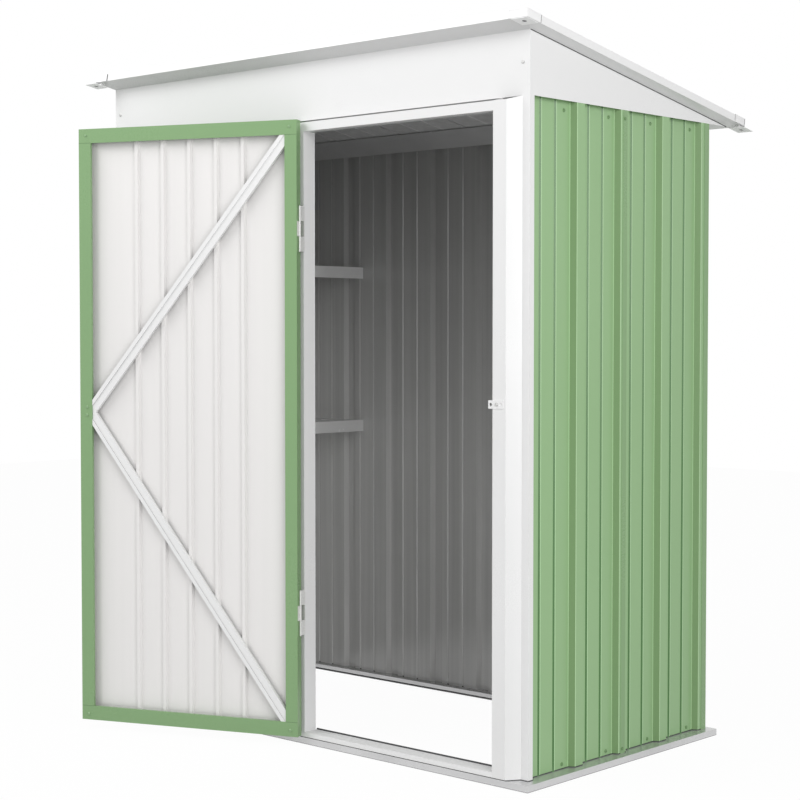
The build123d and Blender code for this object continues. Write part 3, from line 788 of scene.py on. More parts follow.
@dataclass(frozen=True)
class Screw:
    """A pan-head screw with a flat washer and a cross recess. Profiles are shares of radius and height."""

    head_radius: float = 3.6 * MM
    head_height: float = 2.1 * MM
    head_profile: tuple[tuple[float, float], ...] = ((1.0, 0.0), (0.99, 0.45), (0.90, 0.78), (0.72, 1.0))
    washer_radius: float = 4.8 * MM
    washer_height: float = 0.7 * MM
    washer_profile: tuple[tuple[float, float], ...] = ((1.0, 0.0), (1.0, 0.7), (0.94, 1.0))
    recess_reach: float = 2.0 * MM
    recess_width: float = 0.55 * MM
    recess_depth: float = 0.9 * MM
    recess_taper: float = 0.6
    sides: int = 20
    turn_step: float = 0.9
    weld: float = 0.01 * MM

    def _add(self, mesh: bmesh.types.BMesh) -> None:
        """Adds one screw at the origin.

        Args:
            mesh: mesh that it goes to.
        """
        frame = Spot(Vector((0.0, 0.0, 0.0)), Vector((0.0, 0.0, 1.0))).matrix()
        base, tall = self.washer_height, self.head_height
        washer = [(share * self.washer_radius, rise * base) for share, rise in self.washer_profile]
        lathe(mesh, washer + [(self.head_radius, base)], self.sides, frame)
        head = [(share * self.head_radius, base + rise * tall) for share, rise in self.head_profile]
        lathe(mesh, head, self.sides, frame)
        self._add_top(mesh, frame, *head[-1])

    def _add_top(self, mesh: bmesh.types.BMesh, frame: Matrix, radius: float, top: float) -> None:
        """Adds the head's flat top with its sunk cross.

        Args:
            mesh: mesh that it goes to.
            frame: frame of the screw.
            radius: radius of the flat top.
            top: its height.
        """
        w, r = self.recess_width, self.recess_reach
        arm = [(r, -w), (r, w), (w, w)]
        cross: list[tuple[float, float]] = []
        for _ in range(4):
            cross += arm
            arm = [(-y, x) for x, y in arm]
        rim = [mesh.verts.new(frame @ point) for point in circle(radius, top, self.sides)]
        upper = [mesh.verts.new(frame @ Vector((x, y, top))) for x, y in cross]
        pairs = [pair for ring in (rim, upper) for pair in zip(ring, ring[1:] + ring[:1])]
        edges = [mesh.edges.new(pair) for pair in pairs]
        bmesh.ops.triangle_fill(mesh, use_beauty=True, use_dissolve=False, edges=edges)
        taper, floor = self.recess_taper, top - self.recess_depth
        sunk = [mesh.verts.new(frame @ Vector((x * taper, y * taper, floor))) for x, y in cross]
        inside = [face for face in mesh.faces if set(face.verts) <= set(upper)]
        bmesh.ops.delete(mesh, geom=inside, context="FACES_ONLY")
        bridge(mesh, [upper, sunk])
        mesh.faces.new(sunk)

    def group(self, name: str, spots: list[Spot], body: Body, finish: Finish) -> None:
        """Builds one piece with all the screws of a group.

        Args:
            name: the piece's name.
            spots: where its screws sit.
            body: the body that it rides on.
            finish: the screws' finish.
        """
        template = bmesh.new()
        self._add(template)
        data = bpy.data.meshes.new(name + "_one")
        template.to_mesh(data)
        template.free()
        mesh = bmesh.new()
        for number, spot in enumerate(spots):
            start = len(mesh.verts)
            mesh.from_mesh(data)
            mesh.verts.ensure_lookup_table()
            bmesh.ops.transform(mesh, matrix=spot.matrix(number * self.turn_step), verts=mesh.verts[start:])
        bpy.data.meshes.remove(data)
        bmesh.ops.remove_doubles(mesh, verts=mesh.verts, dist=self.weld)
        piece(mesh, name, finish, body)


# ---- Sub-assemblies


@dataclass(frozen=True)
class Palette:
    """The finishes of the shed."""

    green: Colour = (0.240, 0.400, 0.190)
    sheet_green: Colour = (0.305, 0.500, 0.243)
    # painted shade on the sheets' flanks, and deeper painted shade on their beads
    sheet_flank_shade: Colour = (0.165, 0.293, 0.112)
    bead_shade_share: Colour = (0.18, 0.46, 0.13)
    white: Colour = (0.86, 0.86, 0.86)
    # painted shade on the roof sheets' flanks
    roof_flank_shade: float = 0.93
    door_white: Colour = (0.86, 0.845, 0.835)
    backing: Colour = (0.76, 0.76, 0.75)
    # painted shade at the top of the walls' backing
    backing_shade: float = 0.5
    brace_white: Colour = (0.90, 0.90, 0.90)
    # painted shade on the braces' slopes and edges
    brace_shade: Colour = (0.36, 0.36, 0.36)
    still: float = 0.02
    white_trim: GlossCoat = GlossCoat("white_gloss_coat", white)
    green_trim: GlossCoat = GlossCoat("green_gloss_coat", green)
    green_lap: GlossCoat = GlossCoat("green_lap_coat", green)
    # light green of the painted highlight strips
    green_highlight: GlossCoat = GlossCoat("painted_highlight_green_coat", (0.52, 0.76, 0.44))
    green_screw: GlossCoat = GlossCoat("green_screw_coat", (0.17, 0.30, 0.13))
    pale_screw: GlossCoat = GlossCoat("pale_green_screw_coat", (0.33, 0.50, 0.28))
    green_joint: GlossCoat = GlossCoat("green_joint_coat", (0.085, 0.15, 0.065))
    # painted shade on the roof edge's downward faces
    roof_edge: GlossCoat = GlossCoat("roof_edge_coat", (0.90, 0.90, 0.90), underside_shade=0.80)
    bright_white: GlossCoat = GlossCoat("bright_white_coat", (0.93, 0.93, 0.93))
    sill_white: GlossCoat = GlossCoat("sill_coat", (0.92, 0.92, 0.92), 0.5, shine=0.2)
    zinc: Galvanised = Galvanised("galvanised_zinc")
    shelf_zinc: Galvanised = Galvanised("galvanised_shelf", (0.84, 0.84, 0.84), (0.92, 0.92, 0.92), 0.1)
    rail_zinc: Galvanised = Galvanised("galvanised_top_rail", metallic=0.15)
    plated: Plated = Plated("plated_steel")
    hinge: Plated = Plated("hinge_plating", (0.93, 0.93, 0.91), 0.30, 0.25)
    black: BlackCoat = BlackCoat("black_powder_coat")
    # black rubber of the sill's strip, also used for the painted shadow lines
    seal_and_shadow_lines: BlackCoat = BlackCoat("rubber_seal_and_painted_shadow_lines")

    def wall_sheet(self, side: str, outward: Direction) -> SheetCoat:
        """Green sheet with painted shade and highlight on its folds and a grey back with painted shade at the
        top.
        """
        colours = (self.sheet_green, self.sheet_flank_shade, self.backing, self.bead_shade_share)
        return SheetCoat(f"green_sheet_{side}", outward, *colours, top_shade=self.backing_shade)

    def roof_sheet(self, up: Direction) -> SheetCoat:
        """White sheet with painted shade and highlight on its folds, facing up the roof's own normal."""
        return SheetCoat("white_roof_sheet", up, self.white, toned(self.white, self.roof_flank_shade), self.white)

    def door_sheet(self, outward: Direction) -> SheetCoat:
        """Green sheet with painted shade and highlight on its folds and a white back, facing out of the door.
        """
        colours = (self.sheet_green, self.sheet_flank_shade, self.door_white)
        return SheetCoat("door_skin", outward, *colours, streaking=self.still)

    def brace_sheet(self, inward: Direction) -> SheetCoat:
        """White folded strip with painted shade and highlight on its slopes, facing into the shed's door."""
        colours = (self.brace_white, self.brace_shade, self.brace_shade)
        return SheetCoat("door_brace_coat", inward, *colours, streaking=self.still)


@dataclass
class Doorway:
    """Frame of the door in the pose that the photograph shows, from the hinge's axis."""

    axis: Vector
    open_angle: float = math.radians(158.0)
    thickness: float = 24 * MM
    width: float = 641 * MM
    edge_gap: float = 3.5 * MM

    def along(self) -> Vector:
        """Direction from the hinge to the lock edge."""
        return Vector((math.cos(self.open_angle), -math.sin(self.open_angle), 0.0))

    def inward(self) -> Vector:
        """Direction that the door's inner face looks."""
        return Vector((math.sin(self.open_angle), math.cos(self.open_angle), 0.0))

    def edges(self) -> tuple[float, float]:
        """Distances of the hinge edge and the lock edge from the axis."""
        return self.edge_gap, self.edge_gap + self.width

    def point(self, across: float, through: float, height: float) -> Vector:
        """A point of the door.

        Args:
            across: distance from the hinge's axis.
            through: distance inward from the middle of its thickness.
            height: height above the ground.

        Returns:
            The point in the shed's frame.
        """
        return Vector((self.axis.x, self.axis.y, height)) + self.along() * across + self.inward() * through

    def frame(self, origin: Vector, through: Vector) -> Matrix:
        """Frame on a face of the door.

        Args:
            origin: its origin.
            through: the direction that the face looks, which is its Y.

        Returns:
            The frame, with X towards the lock edge and Z up.
        """
        axes = Matrix((self.along(), through, Vector((0.0, 0.0, 1.0)))).transposed().to_4x4()
        return Matrix.Translation(origin) @ axes


@dataclass
class Walls:
    """Ribbed sheets, their lap edges, painted highlight strips beside their beads and ridges, a dark strip of
    painted shadow at their foot, and their screws.
    """

    palette: Palette
    ridges_each_side: int = 4
    ridge_pitch: float = 182 * MM
    ridge_base: float = 49.2 * MM
    ridge_flank: float = 8.6 * MM
    ridge_depth: float = 14 * MM
    side_first_ridge: float = 176 * MM
    front_ridge_middle: float = -94 * MM
    bead_half: float = 4 * MM
    front_beads: tuple[float, float] = (58 * MM, 116 * MM)
    bead_places: tuple[float, float] = (72 * MM, 130 * MM)
    # painted highlight strips beside the beads and ridges
    highlight_width: float = 2.6 * MM
    highlight_proud: float = 0.15 * MM
    highlight_lift: float = 1 * MM
    lap_width: float = 19 * MM
    lap_sheet: float = 0.7 * MM
    screw_before_ridge: float = 26 * MM
    top_screws: float = 1609 * MM
    bottom_screws: float = 29 * MM
    # dark strip of painted shadow at the walls' foot
    foot: FootShadowLine = FootShadowLine(proud=0.3 * MM, height=2.2 * MM)

    def dress(self, nodes: Nodes) -> None:
        """Gives every wall sheet its finish.

        Args:
            nodes: nodes of the frame.
        """
        outward = {
            "right": (1.0, 0.0, 0.0),
            "left": (-1.0, 0.0, 0.0),
            "front": (0.0, -1.0, 0.0),
            "back": (0.0, 1.0, 0.0),
        }
        for side, direction in outward.items():
            finish = self.palette.wall_sheet(side, direction)
            for name, node in nodes.items():
                if name.startswith(f"{side}_panel"):
                    assign(node, finish)
        assign(nodes["back_corner_angles"], self.palette.green_trim)

    def build(self) -> None:
        """Builds the sheets' lap edges, the painted highlight strips, the painted shadow line at their foot
        and the screws.
        """
        self._laps()
        self._painted_highlight_strips()
        self._foot_shadow_lines()
        Screw().group("wall_screws", self._spots(), Body.SHED, self.palette.green_screw)

    def _crowns(self) -> tuple[float, float, float]:
        """Crowns of the ridges: X of the right wall's, and Y of the front and back walls'."""
        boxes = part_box("right_panel_front"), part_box("front_panel_inner"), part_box("back_panel_middle")
        return boxes[0][1].x, boxes[1][0].y, boxes[2][1].y

    def _side_feet(self) -> list[float]:
        """Depths at which the side walls' ridges start."""
        return [self.side_first_ridge + i * self.ridge_pitch for i in range(self.ridges_each_side)]

    def _front_feet(self) -> list[float]:
        """Places at which the front wall's ridges start, from the doorway to the left."""
        first = self.front_ridge_middle - self.ridge_base / 2
        return [first - i * self.ridge_pitch for i in range(self.ridges_each_side)]

    def _back_feet(self) -> list[float]:
        """Places at which the back wall's ridges start."""
        count = self.ridges_each_side
        return [i * self.ridge_pitch - self.ridge_base / 2 for i in range(-count, count + 1)]

    def _spots(self) -> list[Spot]:
        """Where the wall screws sit.

        Returns:
            Two rows on each wall, on the flats, and one screw of each row on the side walls' lapped ridge.
        """
        side_crown, front_crown, back_crown = self._crowns()
        flat = side_crown - self.ridge_depth
        places = [(flat, foot - self.screw_before_ridge) for foot in self._side_feet()]
        places.append((side_crown + self.lap_sheet, self._side_feet()[1] + self.ridge_base / 2))
        spots: list[Spot] = []
        for height in (self.top_screws, self.bottom_screws):
            for face, along in places:
                for side in SIDES:
                    spots.append(Spot(Vector((side * face, along, height)), Vector((side, 0.0, 0.0))))
            for foot in self._back_feet()[1:]:
                place = Vector((foot - self.screw_before_ridge, back_crown - self.ridge_depth, height))
                spots.append(Spot(place, Vector((0.0, 1.0, 0.0))))
            for foot in self._front_feet():
                place = Vector((foot - self.screw_before_ridge, front_crown + self.ridge_depth, height))
                spots.append(Spot(place, Vector((0.0, -1.0, 0.0))))
        return spots

    def _painted_highlight_strips(self) -> None:
        """Builds slim light green strips, painted highlights beside the beads and ridges of the side walls.
        """
        low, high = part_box("right_panel_front")[0].z + self.highlight_lift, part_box("fascia_right")[0].z
        crown, feet = self._crowns()[0], self._side_feet()
        flat = crown - self.ridge_depth
        # light strips of painted highlight beside each bead and ridge
        edges = [(place + self.bead_half, flat) for place in self.front_beads]
        for foot in feet:
            edges += [(foot - self.highlight_width, flat), (foot + self.ridge_flank, crown)]
        for foot in feet[:-1]:
            edges += [(foot + place + self.bead_half, flat) for place in self.bead_places]
        mesh = bmesh.new()
        for side in SIDES:
            for start, face in edges:
                outer = Vector((side * (face + self.highlight_proud), start + self.highlight_width, high))
                box_between(mesh, Vector((side * face, start, low)), outer)
        piece(mesh, "wall_painted_highlight_strips", self.palette.green_highlight, Body.SHED)

    def _section(self, feet: list[float], start: float, end: float) -> list[tuple[float, float]]:
        """Corners of a wall's outer face, seen from above.

        Args:
            feet: where the ridges start.
            start: where the wall starts.
            end: where the wall ends.

        Returns:
            The place along the wall and the depth under the ridges' crowns of each corner.
        """
        corners = [(start, self.ridge_depth)]
        for foot in feet:
            last = foot + self.ridge_base
            corners += [(foot, self.ridge_depth), (foot + self.ridge_flank, 0.0)]
            corners += [(last - self.ridge_flank, 0.0), (last, self.ridge_depth)]
        corners.append((end, self.ridge_depth))
        corners = [(min(max(along, start), end), depth) for along, depth in corners]
        return [now for now, then in zip(corners, corners[1:] + [(math.inf, 0.0)]) if now[0] < then[0]]

    def _foot_shadow_lines(self) -> None:
        """Builds the thin dark strip that paints the shadow line between the base rails and the side and back
        walls.
        """
        low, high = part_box("right_panel_front")[0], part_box("right_panel_back")[1]
        section = self._section(self._side_feet(), low.y, high.y)
        right = [Vector((high.x - depth, along, low.z)) for along, depth in section]
        left = [Vector((-point.x, point.y, point.z)) for point in reversed(right)]
        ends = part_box("back_panel_left")[0].x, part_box("back_panel_right")[1].x
        section, crown = self._section(self._back_feet(), *ends), self._crowns()[2]
        back = [Vector((along, crown - depth, low.z)) for along, depth in reversed(section)]
        mesh = bmesh.new()
        # dark strips of painted shadow along the walls' foot
        for line in (right, left, back):
            self.foot.add(mesh, line)
        piece(mesh, "wall_foot_shadow_lines", self.palette.seal_and_shadow_lines, Body.SHED)

    def _laps(self) -> None:
        """Builds the thin lapping edge of each sheet that overlaps its neighbour on a ridge."""
        mesh = bmesh.new()
        side_crown, front_crown, back_crown = self._crowns()
        low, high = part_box("right_panel_front")
        for side in SIDES:
            outer = Vector((side * (side_crown + self.lap_sheet), high.y, high.z))
            box_between(mesh, Vector((side * side_crown, high.y - self.lap_width, low.z)), outer)
        back_face, back_top = back_crown + self.lap_sheet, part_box("fascia_right")[0].z
        for name, crown, face, top in (
            ("front_panel_outer", front_crown, front_crown - self.lap_sheet, high.z),
            ("back_panel_left", back_crown, back_face, back_top),
            ("back_panel_middle", back_crown, back_face, back_top),
        ):
            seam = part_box(name)[1].x
            box_between(mesh, Vector((seam - self.lap_width, crown, low.z)), Vector((seam, face, top)))
        piece(mesh, "wall_lap_edges", self.palette.green_lap, Body.SHED)


@dataclass
class Trims:
    """White posts, doorway frame and fascias, with their screws, the sill's rubber strip and a dark strip of
    painted shadow at their foot.
    """

    palette: Palette
    fascia_screw_inset: float = 21 * MM
    fascia_screw_height: float = 1708 * MM
    seal_width: float = 3.6 * MM
    seal_round: float = 0.6
    seal_inset: float = 1 * MM
    lip_sheet: float = 1 * MM
    jamb_face: float = 41 * MM
    post_face: float = 40 * MM
    frame_slope: float = 22 * MM
    # dark strip of painted shadow at the trims' foot
    foot: FootShadowLine = FootShadowLine(proud=0.6 * MM, height=1.6 * MM)
    white_nodes: tuple[str, ...] = (
        "corner_post_left", "corner_post_right", "door_jamb", "door_lintel",
        "fascia_front", "fascia_left", "fascia_right",
    )

    def dress(self, nodes: Nodes) -> None:
        """Gives the white trims their coat.

        Args:
            nodes: nodes of the frame.
        """
        for name in self.white_nodes:
            assign(nodes[name], self.palette.white_trim)
        assign(nodes["door_sill"], self.palette.sill_white)

    def build(self) -> None:
        """Builds the sill's rubber strip, the painted shadow line at the trims' foot and the fascias' screws.
        """
        self._seal()
        self._foot()
        low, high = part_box("fascia_front")
        spots = [
            Spot(Vector((x, low.y, self.fascia_screw_height)), Vector((0.0, -1.0, 0.0)))
            for x in (low.x + self.fascia_screw_inset, high.x - self.fascia_screw_inset)
        ]
        Screw().group("fascia_screws", spots, Body.SHED, self.palette.plated)

    def _seal(self) -> None:
        """Builds the rounded rubber strip along the sill's inner lip."""
        low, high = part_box("door_sill")
        half = self.seal_width / 2
        turn = Matrix.Rotation(math.pi / 2, 4, "Y")
        ends = (low.x + self.seal_inset, high.x - self.seal_inset)
        path = [Matrix.Translation((x, high.y - self.lip_sheet - half, high.z)) @ turn for x in ends]
        mesh = bmesh.new()
        swept(mesh, rounded_square(half, half * self.seal_round, 3), path)
        piece(mesh, "sill_seal", self.palette.seal_and_shadow_lines, Body.SHED)

    def _foot(self) -> None:
        """Builds the thin dark strip that paints the shadow line between the base rail and the trims that
        stand on it.
        """
        post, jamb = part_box("corner_post_right"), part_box("door_jamb")
        front, back, edge = post[0].y, post[1].y, post[1].x
        jamb_end, post_start = jamb[1].x - self.jamb_face, post[0].x + self.post_face
        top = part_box("base_rail_front")[1].z
        line = [
            (jamb_end - self.frame_slope, 0.0), (jamb_end, front), (post_start, front),
            (post_start + self.frame_slope, 0.0), (edge, 0.0), (edge, back),
        ]
        mesh = bmesh.new()
        # dark strip of painted shadow round the trims' foot
        self.foot.add(mesh, [Vector((x, y, top)) for x, y in line])
        piece(mesh, "trim_foot_shadow_line", self.palette.seal_and_shadow_lines, Body.SHED)


@dataclass
class Roof:
    """Ribbed roof sheets and the folded edge with its corner caps, dark strips of painted shadow in its seams
    and plate holes, and screws.
    """

    palette: Palette
    pitch: float = math.radians(10.165)
    edge_low: float = 10.2 * MM
    edge_high: float = 29.3 * MM
    cap_reach: float = 51 * MM
    cap_sheet: float = 0.9 * MM
    cap_proud: float = 2 * MM
    cap_radius: float = 4.8 * MM
    cap_steps: int = 8
    cap_drop: float = 0.4 * MM
    cap_fold: tuple[float, float] = (0.7 * MM, 0.8 * MM)
    cap_lap: float = 14 * MM
    cap_lip: float = 1 * MM
    cap_smooth_angle: float = 50.0
    # dark strips of painted shadow in the seams at the caps' ends
    seam_width: float = 1.1 * MM
    seam_sunk: float = 1 * MM
    seam_proud: float = 2.3 * MM
    back_seam_reach: float = 5 * MM
    plate_inset: float = 4.5 * MM
    plate_back_inset: float = 8 * MM
    # dark plugs of painted shadow in the corner plates' holes
    hole_shade_radius: float = 5.6 * MM
    hole_shade_ends: tuple[float, float] = (-0.8 * MM, 4 * MM)
    hole_shade_sides: int = 16
    # dark strips of painted shadow in the joints over the side fascias
    joint_shadow_half: float = 1 * MM
    joint_shadow_heights: tuple[float, float] = (-1.4 * MM, 0.4 * MM)
    screws_each_side: int = 5
    screw_pitch: float = 132 * MM
    screw_inset: float = 10 * MM

    def frame(self) -> Matrix:
        """Frame of the roof's lower face: X across, Y down the slope, Z out of the roof."""
        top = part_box("fascia_front")[1].z
        return Matrix.Translation((0.0, 0.0, top)) @ Matrix.Rotation(-self.pitch, 4, "X")

    def dress(self, nodes: Nodes) -> None:
        """Gives the roof's nodes their coats.

        Args:
            nodes: nodes of the frame.
        """
        sheet = self.palette.roof_sheet((0.0, math.sin(self.pitch), math.cos(self.pitch)))
        for name, node in nodes.items():
            if name.startswith("roof_panel"):
                assign(node, sheet)
            elif name.startswith("roof_trim"):
                assign(node, self.palette.roof_edge)
        assign(nodes["roof_corner_plates"], self.palette.bright_white)

    def _ends(self) -> tuple[float, float, float]:
        """Measures the roof.

        Returns:
            Its half width, and its front and back edges down the slope.
        """
        trim, back_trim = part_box("roof_trim_front"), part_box("roof_trim_back")
        sine, cosine = math.sin(self.pitch), math.cos(self.pitch)
        front = (trim[0].y - self.edge_low * sine) / cosine
        return trim[1].x, front, (back_trim[1].y - self.edge_high * sine) / cosine

    def build(self) -> None:
        """Builds the corner caps, the painted shadow lines and the roof's screws."""
        half, front, back = self._ends()
        frame = self.frame()
        mesh = bmesh.new()
        for side in SIDES:
            for end, inward in ((front, 1), (back, -1)):
                self._cap(mesh, frame, side, half, end, inward)
        piece(
            mesh, "roof_corner_caps", self.palette.bright_white, Body.SHED, self.cap_smooth_angle
        )
        self._painted_shadow_lines(frame, half, front, back)
        out = (frame.to_3x3() @ Vector((0.0, 0.0, 1.0))).normalized()
        spots = [
            Spot(frame @ Vector((i * self.screw_pitch, end, self.edge_high)), out)
            for i in range(-self.screws_each_side, self.screws_each_side + 1)
            for end in (front + self.screw_inset, back - self.screw_inset)
        ]
        Screw().group("roof_screws", spots, Body.SHED, self.palette.plated)

    def _painted_shadow_lines(self, frame: Matrix, half: float, front: float, back: float) -> None:
        """Builds dark strips of painted shadow in the seams at the caps' ends, in the corner plates' holes
        and in the joints over the side fascias.

        Args:
            frame: frame of the roof.
            half: half width of the roof.
            front: front edge of the roof.
            back: back edge of the roof.
        """
        # dark strips and plugs that paint shadow in seams, holes and joints
        mesh = bmesh.new()
        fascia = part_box("fascia_right")[1]
        sunk, low, high = self.seam_sunk, self.edge_low, self.edge_high
        start, end = self.hole_shade_ends
        hole_shade = [(0.0, start), (self.hole_shade_radius, start), (self.hole_shade_radius, end), (0.0, end)]
        corners = ((front, 1, 0.0, self.cap_reach), (back, -1, self.plate_back_inset, self.back_seam_reach))
        for side in SIDES:
            for edge, inward, inset, reach in corners:
                seam = side * (half - self.cap_reach)
                outer = Vector((seam - side * self.seam_width, edge + inward * sunk, high))
                box_between(mesh, Vector((seam, edge - inward * sunk, low)), outer, frame)
                seam = edge + inward * reach
                outer = Vector((side * (half + self.seam_proud), seam + inward * self.seam_width, high))
                box_between(mesh, Vector((side * (half - sunk), seam, low)), outer, frame)
                place = Matrix.Translation((side * (half - self.plate_inset), edge + inward * inset, 0.0))
                lathe(mesh, hole_shade, self.hole_shade_sides, frame @ place)
            joint, (under, over) = self.joint_shadow_half, self.joint_shadow_heights
            outer = Vector((side * (fascia.x + joint), fascia.y / math.cos(self.pitch), over))
            box_between(mesh, Vector((side * (fascia.x - joint), joint, under)), outer, frame)
        piece(mesh, "roof_painted_shadow_lines", self.palette.seal_and_shadow_lines, Body.SHED)

    def _cap(
        self, mesh: bmesh.types.BMesh, frame: Matrix, side: int, half: float, end: float, inward: int
    ) -> None:
        """Adds one folded cap round a corner of the roof's edge.

        Args:
            mesh: mesh that it goes to.
            frame: frame of the roof.
            side: -1 on the left and 1 on the right.
            half: half width of the roof.
            end: front or back edge of the roof.
            inward: direction from that edge to the roof's middle.
        """
        low, high = self.edge_low - self.cap_drop, self.edge_high + self.cap_sheet
        across, along = side * (half - self.cap_reach), end + inward * self.cap_reach
        middle = Vector((side * (half - self.cap_radius), end + inward * self.cap_radius, 0.0))
        reach = self.cap_radius + self.cap_proud
        line = [Vector((across, end - inward * self.cap_proud, 0.0))]
        for i in range(self.cap_steps + 1):
            angle = math.pi / 2 * i / self.cap_steps
            out = Vector((side * math.sin(angle), -inward * math.cos(angle), 0.0))
            line.append(middle + out * reach)
        line.append(Vector((side * (half + self.cap_proud), along, 0.0)))
        centre = Vector((across, along, 0.0))
        pulls = [(centre - point).normalized() for point in line]
        pulls[0], pulls[-1] = Vector((0.0, inward, 0.0)), Vector((-side, 0.0, 0.0))
        fold, drop = self.cap_fold
        section = [
            (0.0, low), (0.0, high - drop), (fold, high),
            (self.cap_lap, high), (self.cap_lap, high - self.cap_lip),
        ]
        rows = [
            [
                mesh.verts.new(frame @ (point + pull * inset + Vector((0.0, 0.0, rise))))
                for inset, rise in section
            ]
            for point, pull in zip(line, pulls)
        ]
        bridge(mesh, rows, closed=False)


@dataclass
class Base:
    """Galvanised base rails, top rails, shelves and catch."""

    palette: Palette
    shelf_screw_depths: tuple[float, float] = (216 * MM, 580 * MM)
    shelf_screw_insets: tuple[float, float] = (60 * MM, 180 * MM)
    catch_screw_shift: float = 2 * MM

    def dress(self, nodes: Nodes) -> None:
        """Gives the galvanised nodes their finish.

        Args:
            nodes: nodes of the frame.
        """
        for name, node in nodes.items():
            if name.startswith("base_rail"):
                assign(node, self.palette.zinc)
            elif name.startswith("top_rails"):
                assign(node, self.palette.rail_zinc)
            elif name.startswith(("shelf", "latch")):
                assign(node, self.palette.shelf_zinc)

    def build(self) -> None:
        """Builds the shelves' screws and the catch's screw."""
        spots: list[Spot] = []
        for name in ("shelf_upper", "shelf_lower"):
            low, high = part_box(name)
            for y in self.shelf_screw_depths:
                for inset in self.shelf_screw_insets:
                    spots.append(Spot(Vector((low.x + inset, y, high.z)), Vector((0.0, 0.0, 1.0))))
        Screw().group("shelf_screws", spots, Body.SHED, self.palette.plated)
        low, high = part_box("latch_catch")
        place = Vector(((low.x + high.x) / 2 + self.catch_screw_shift, low.y, (low.z + high.z) / 2))
        spots = [Spot(place, Vector((0.0, -1.0, 0.0)))]
        Screw().group("catch_screw", spots, Body.SHED, self.palette.plated)


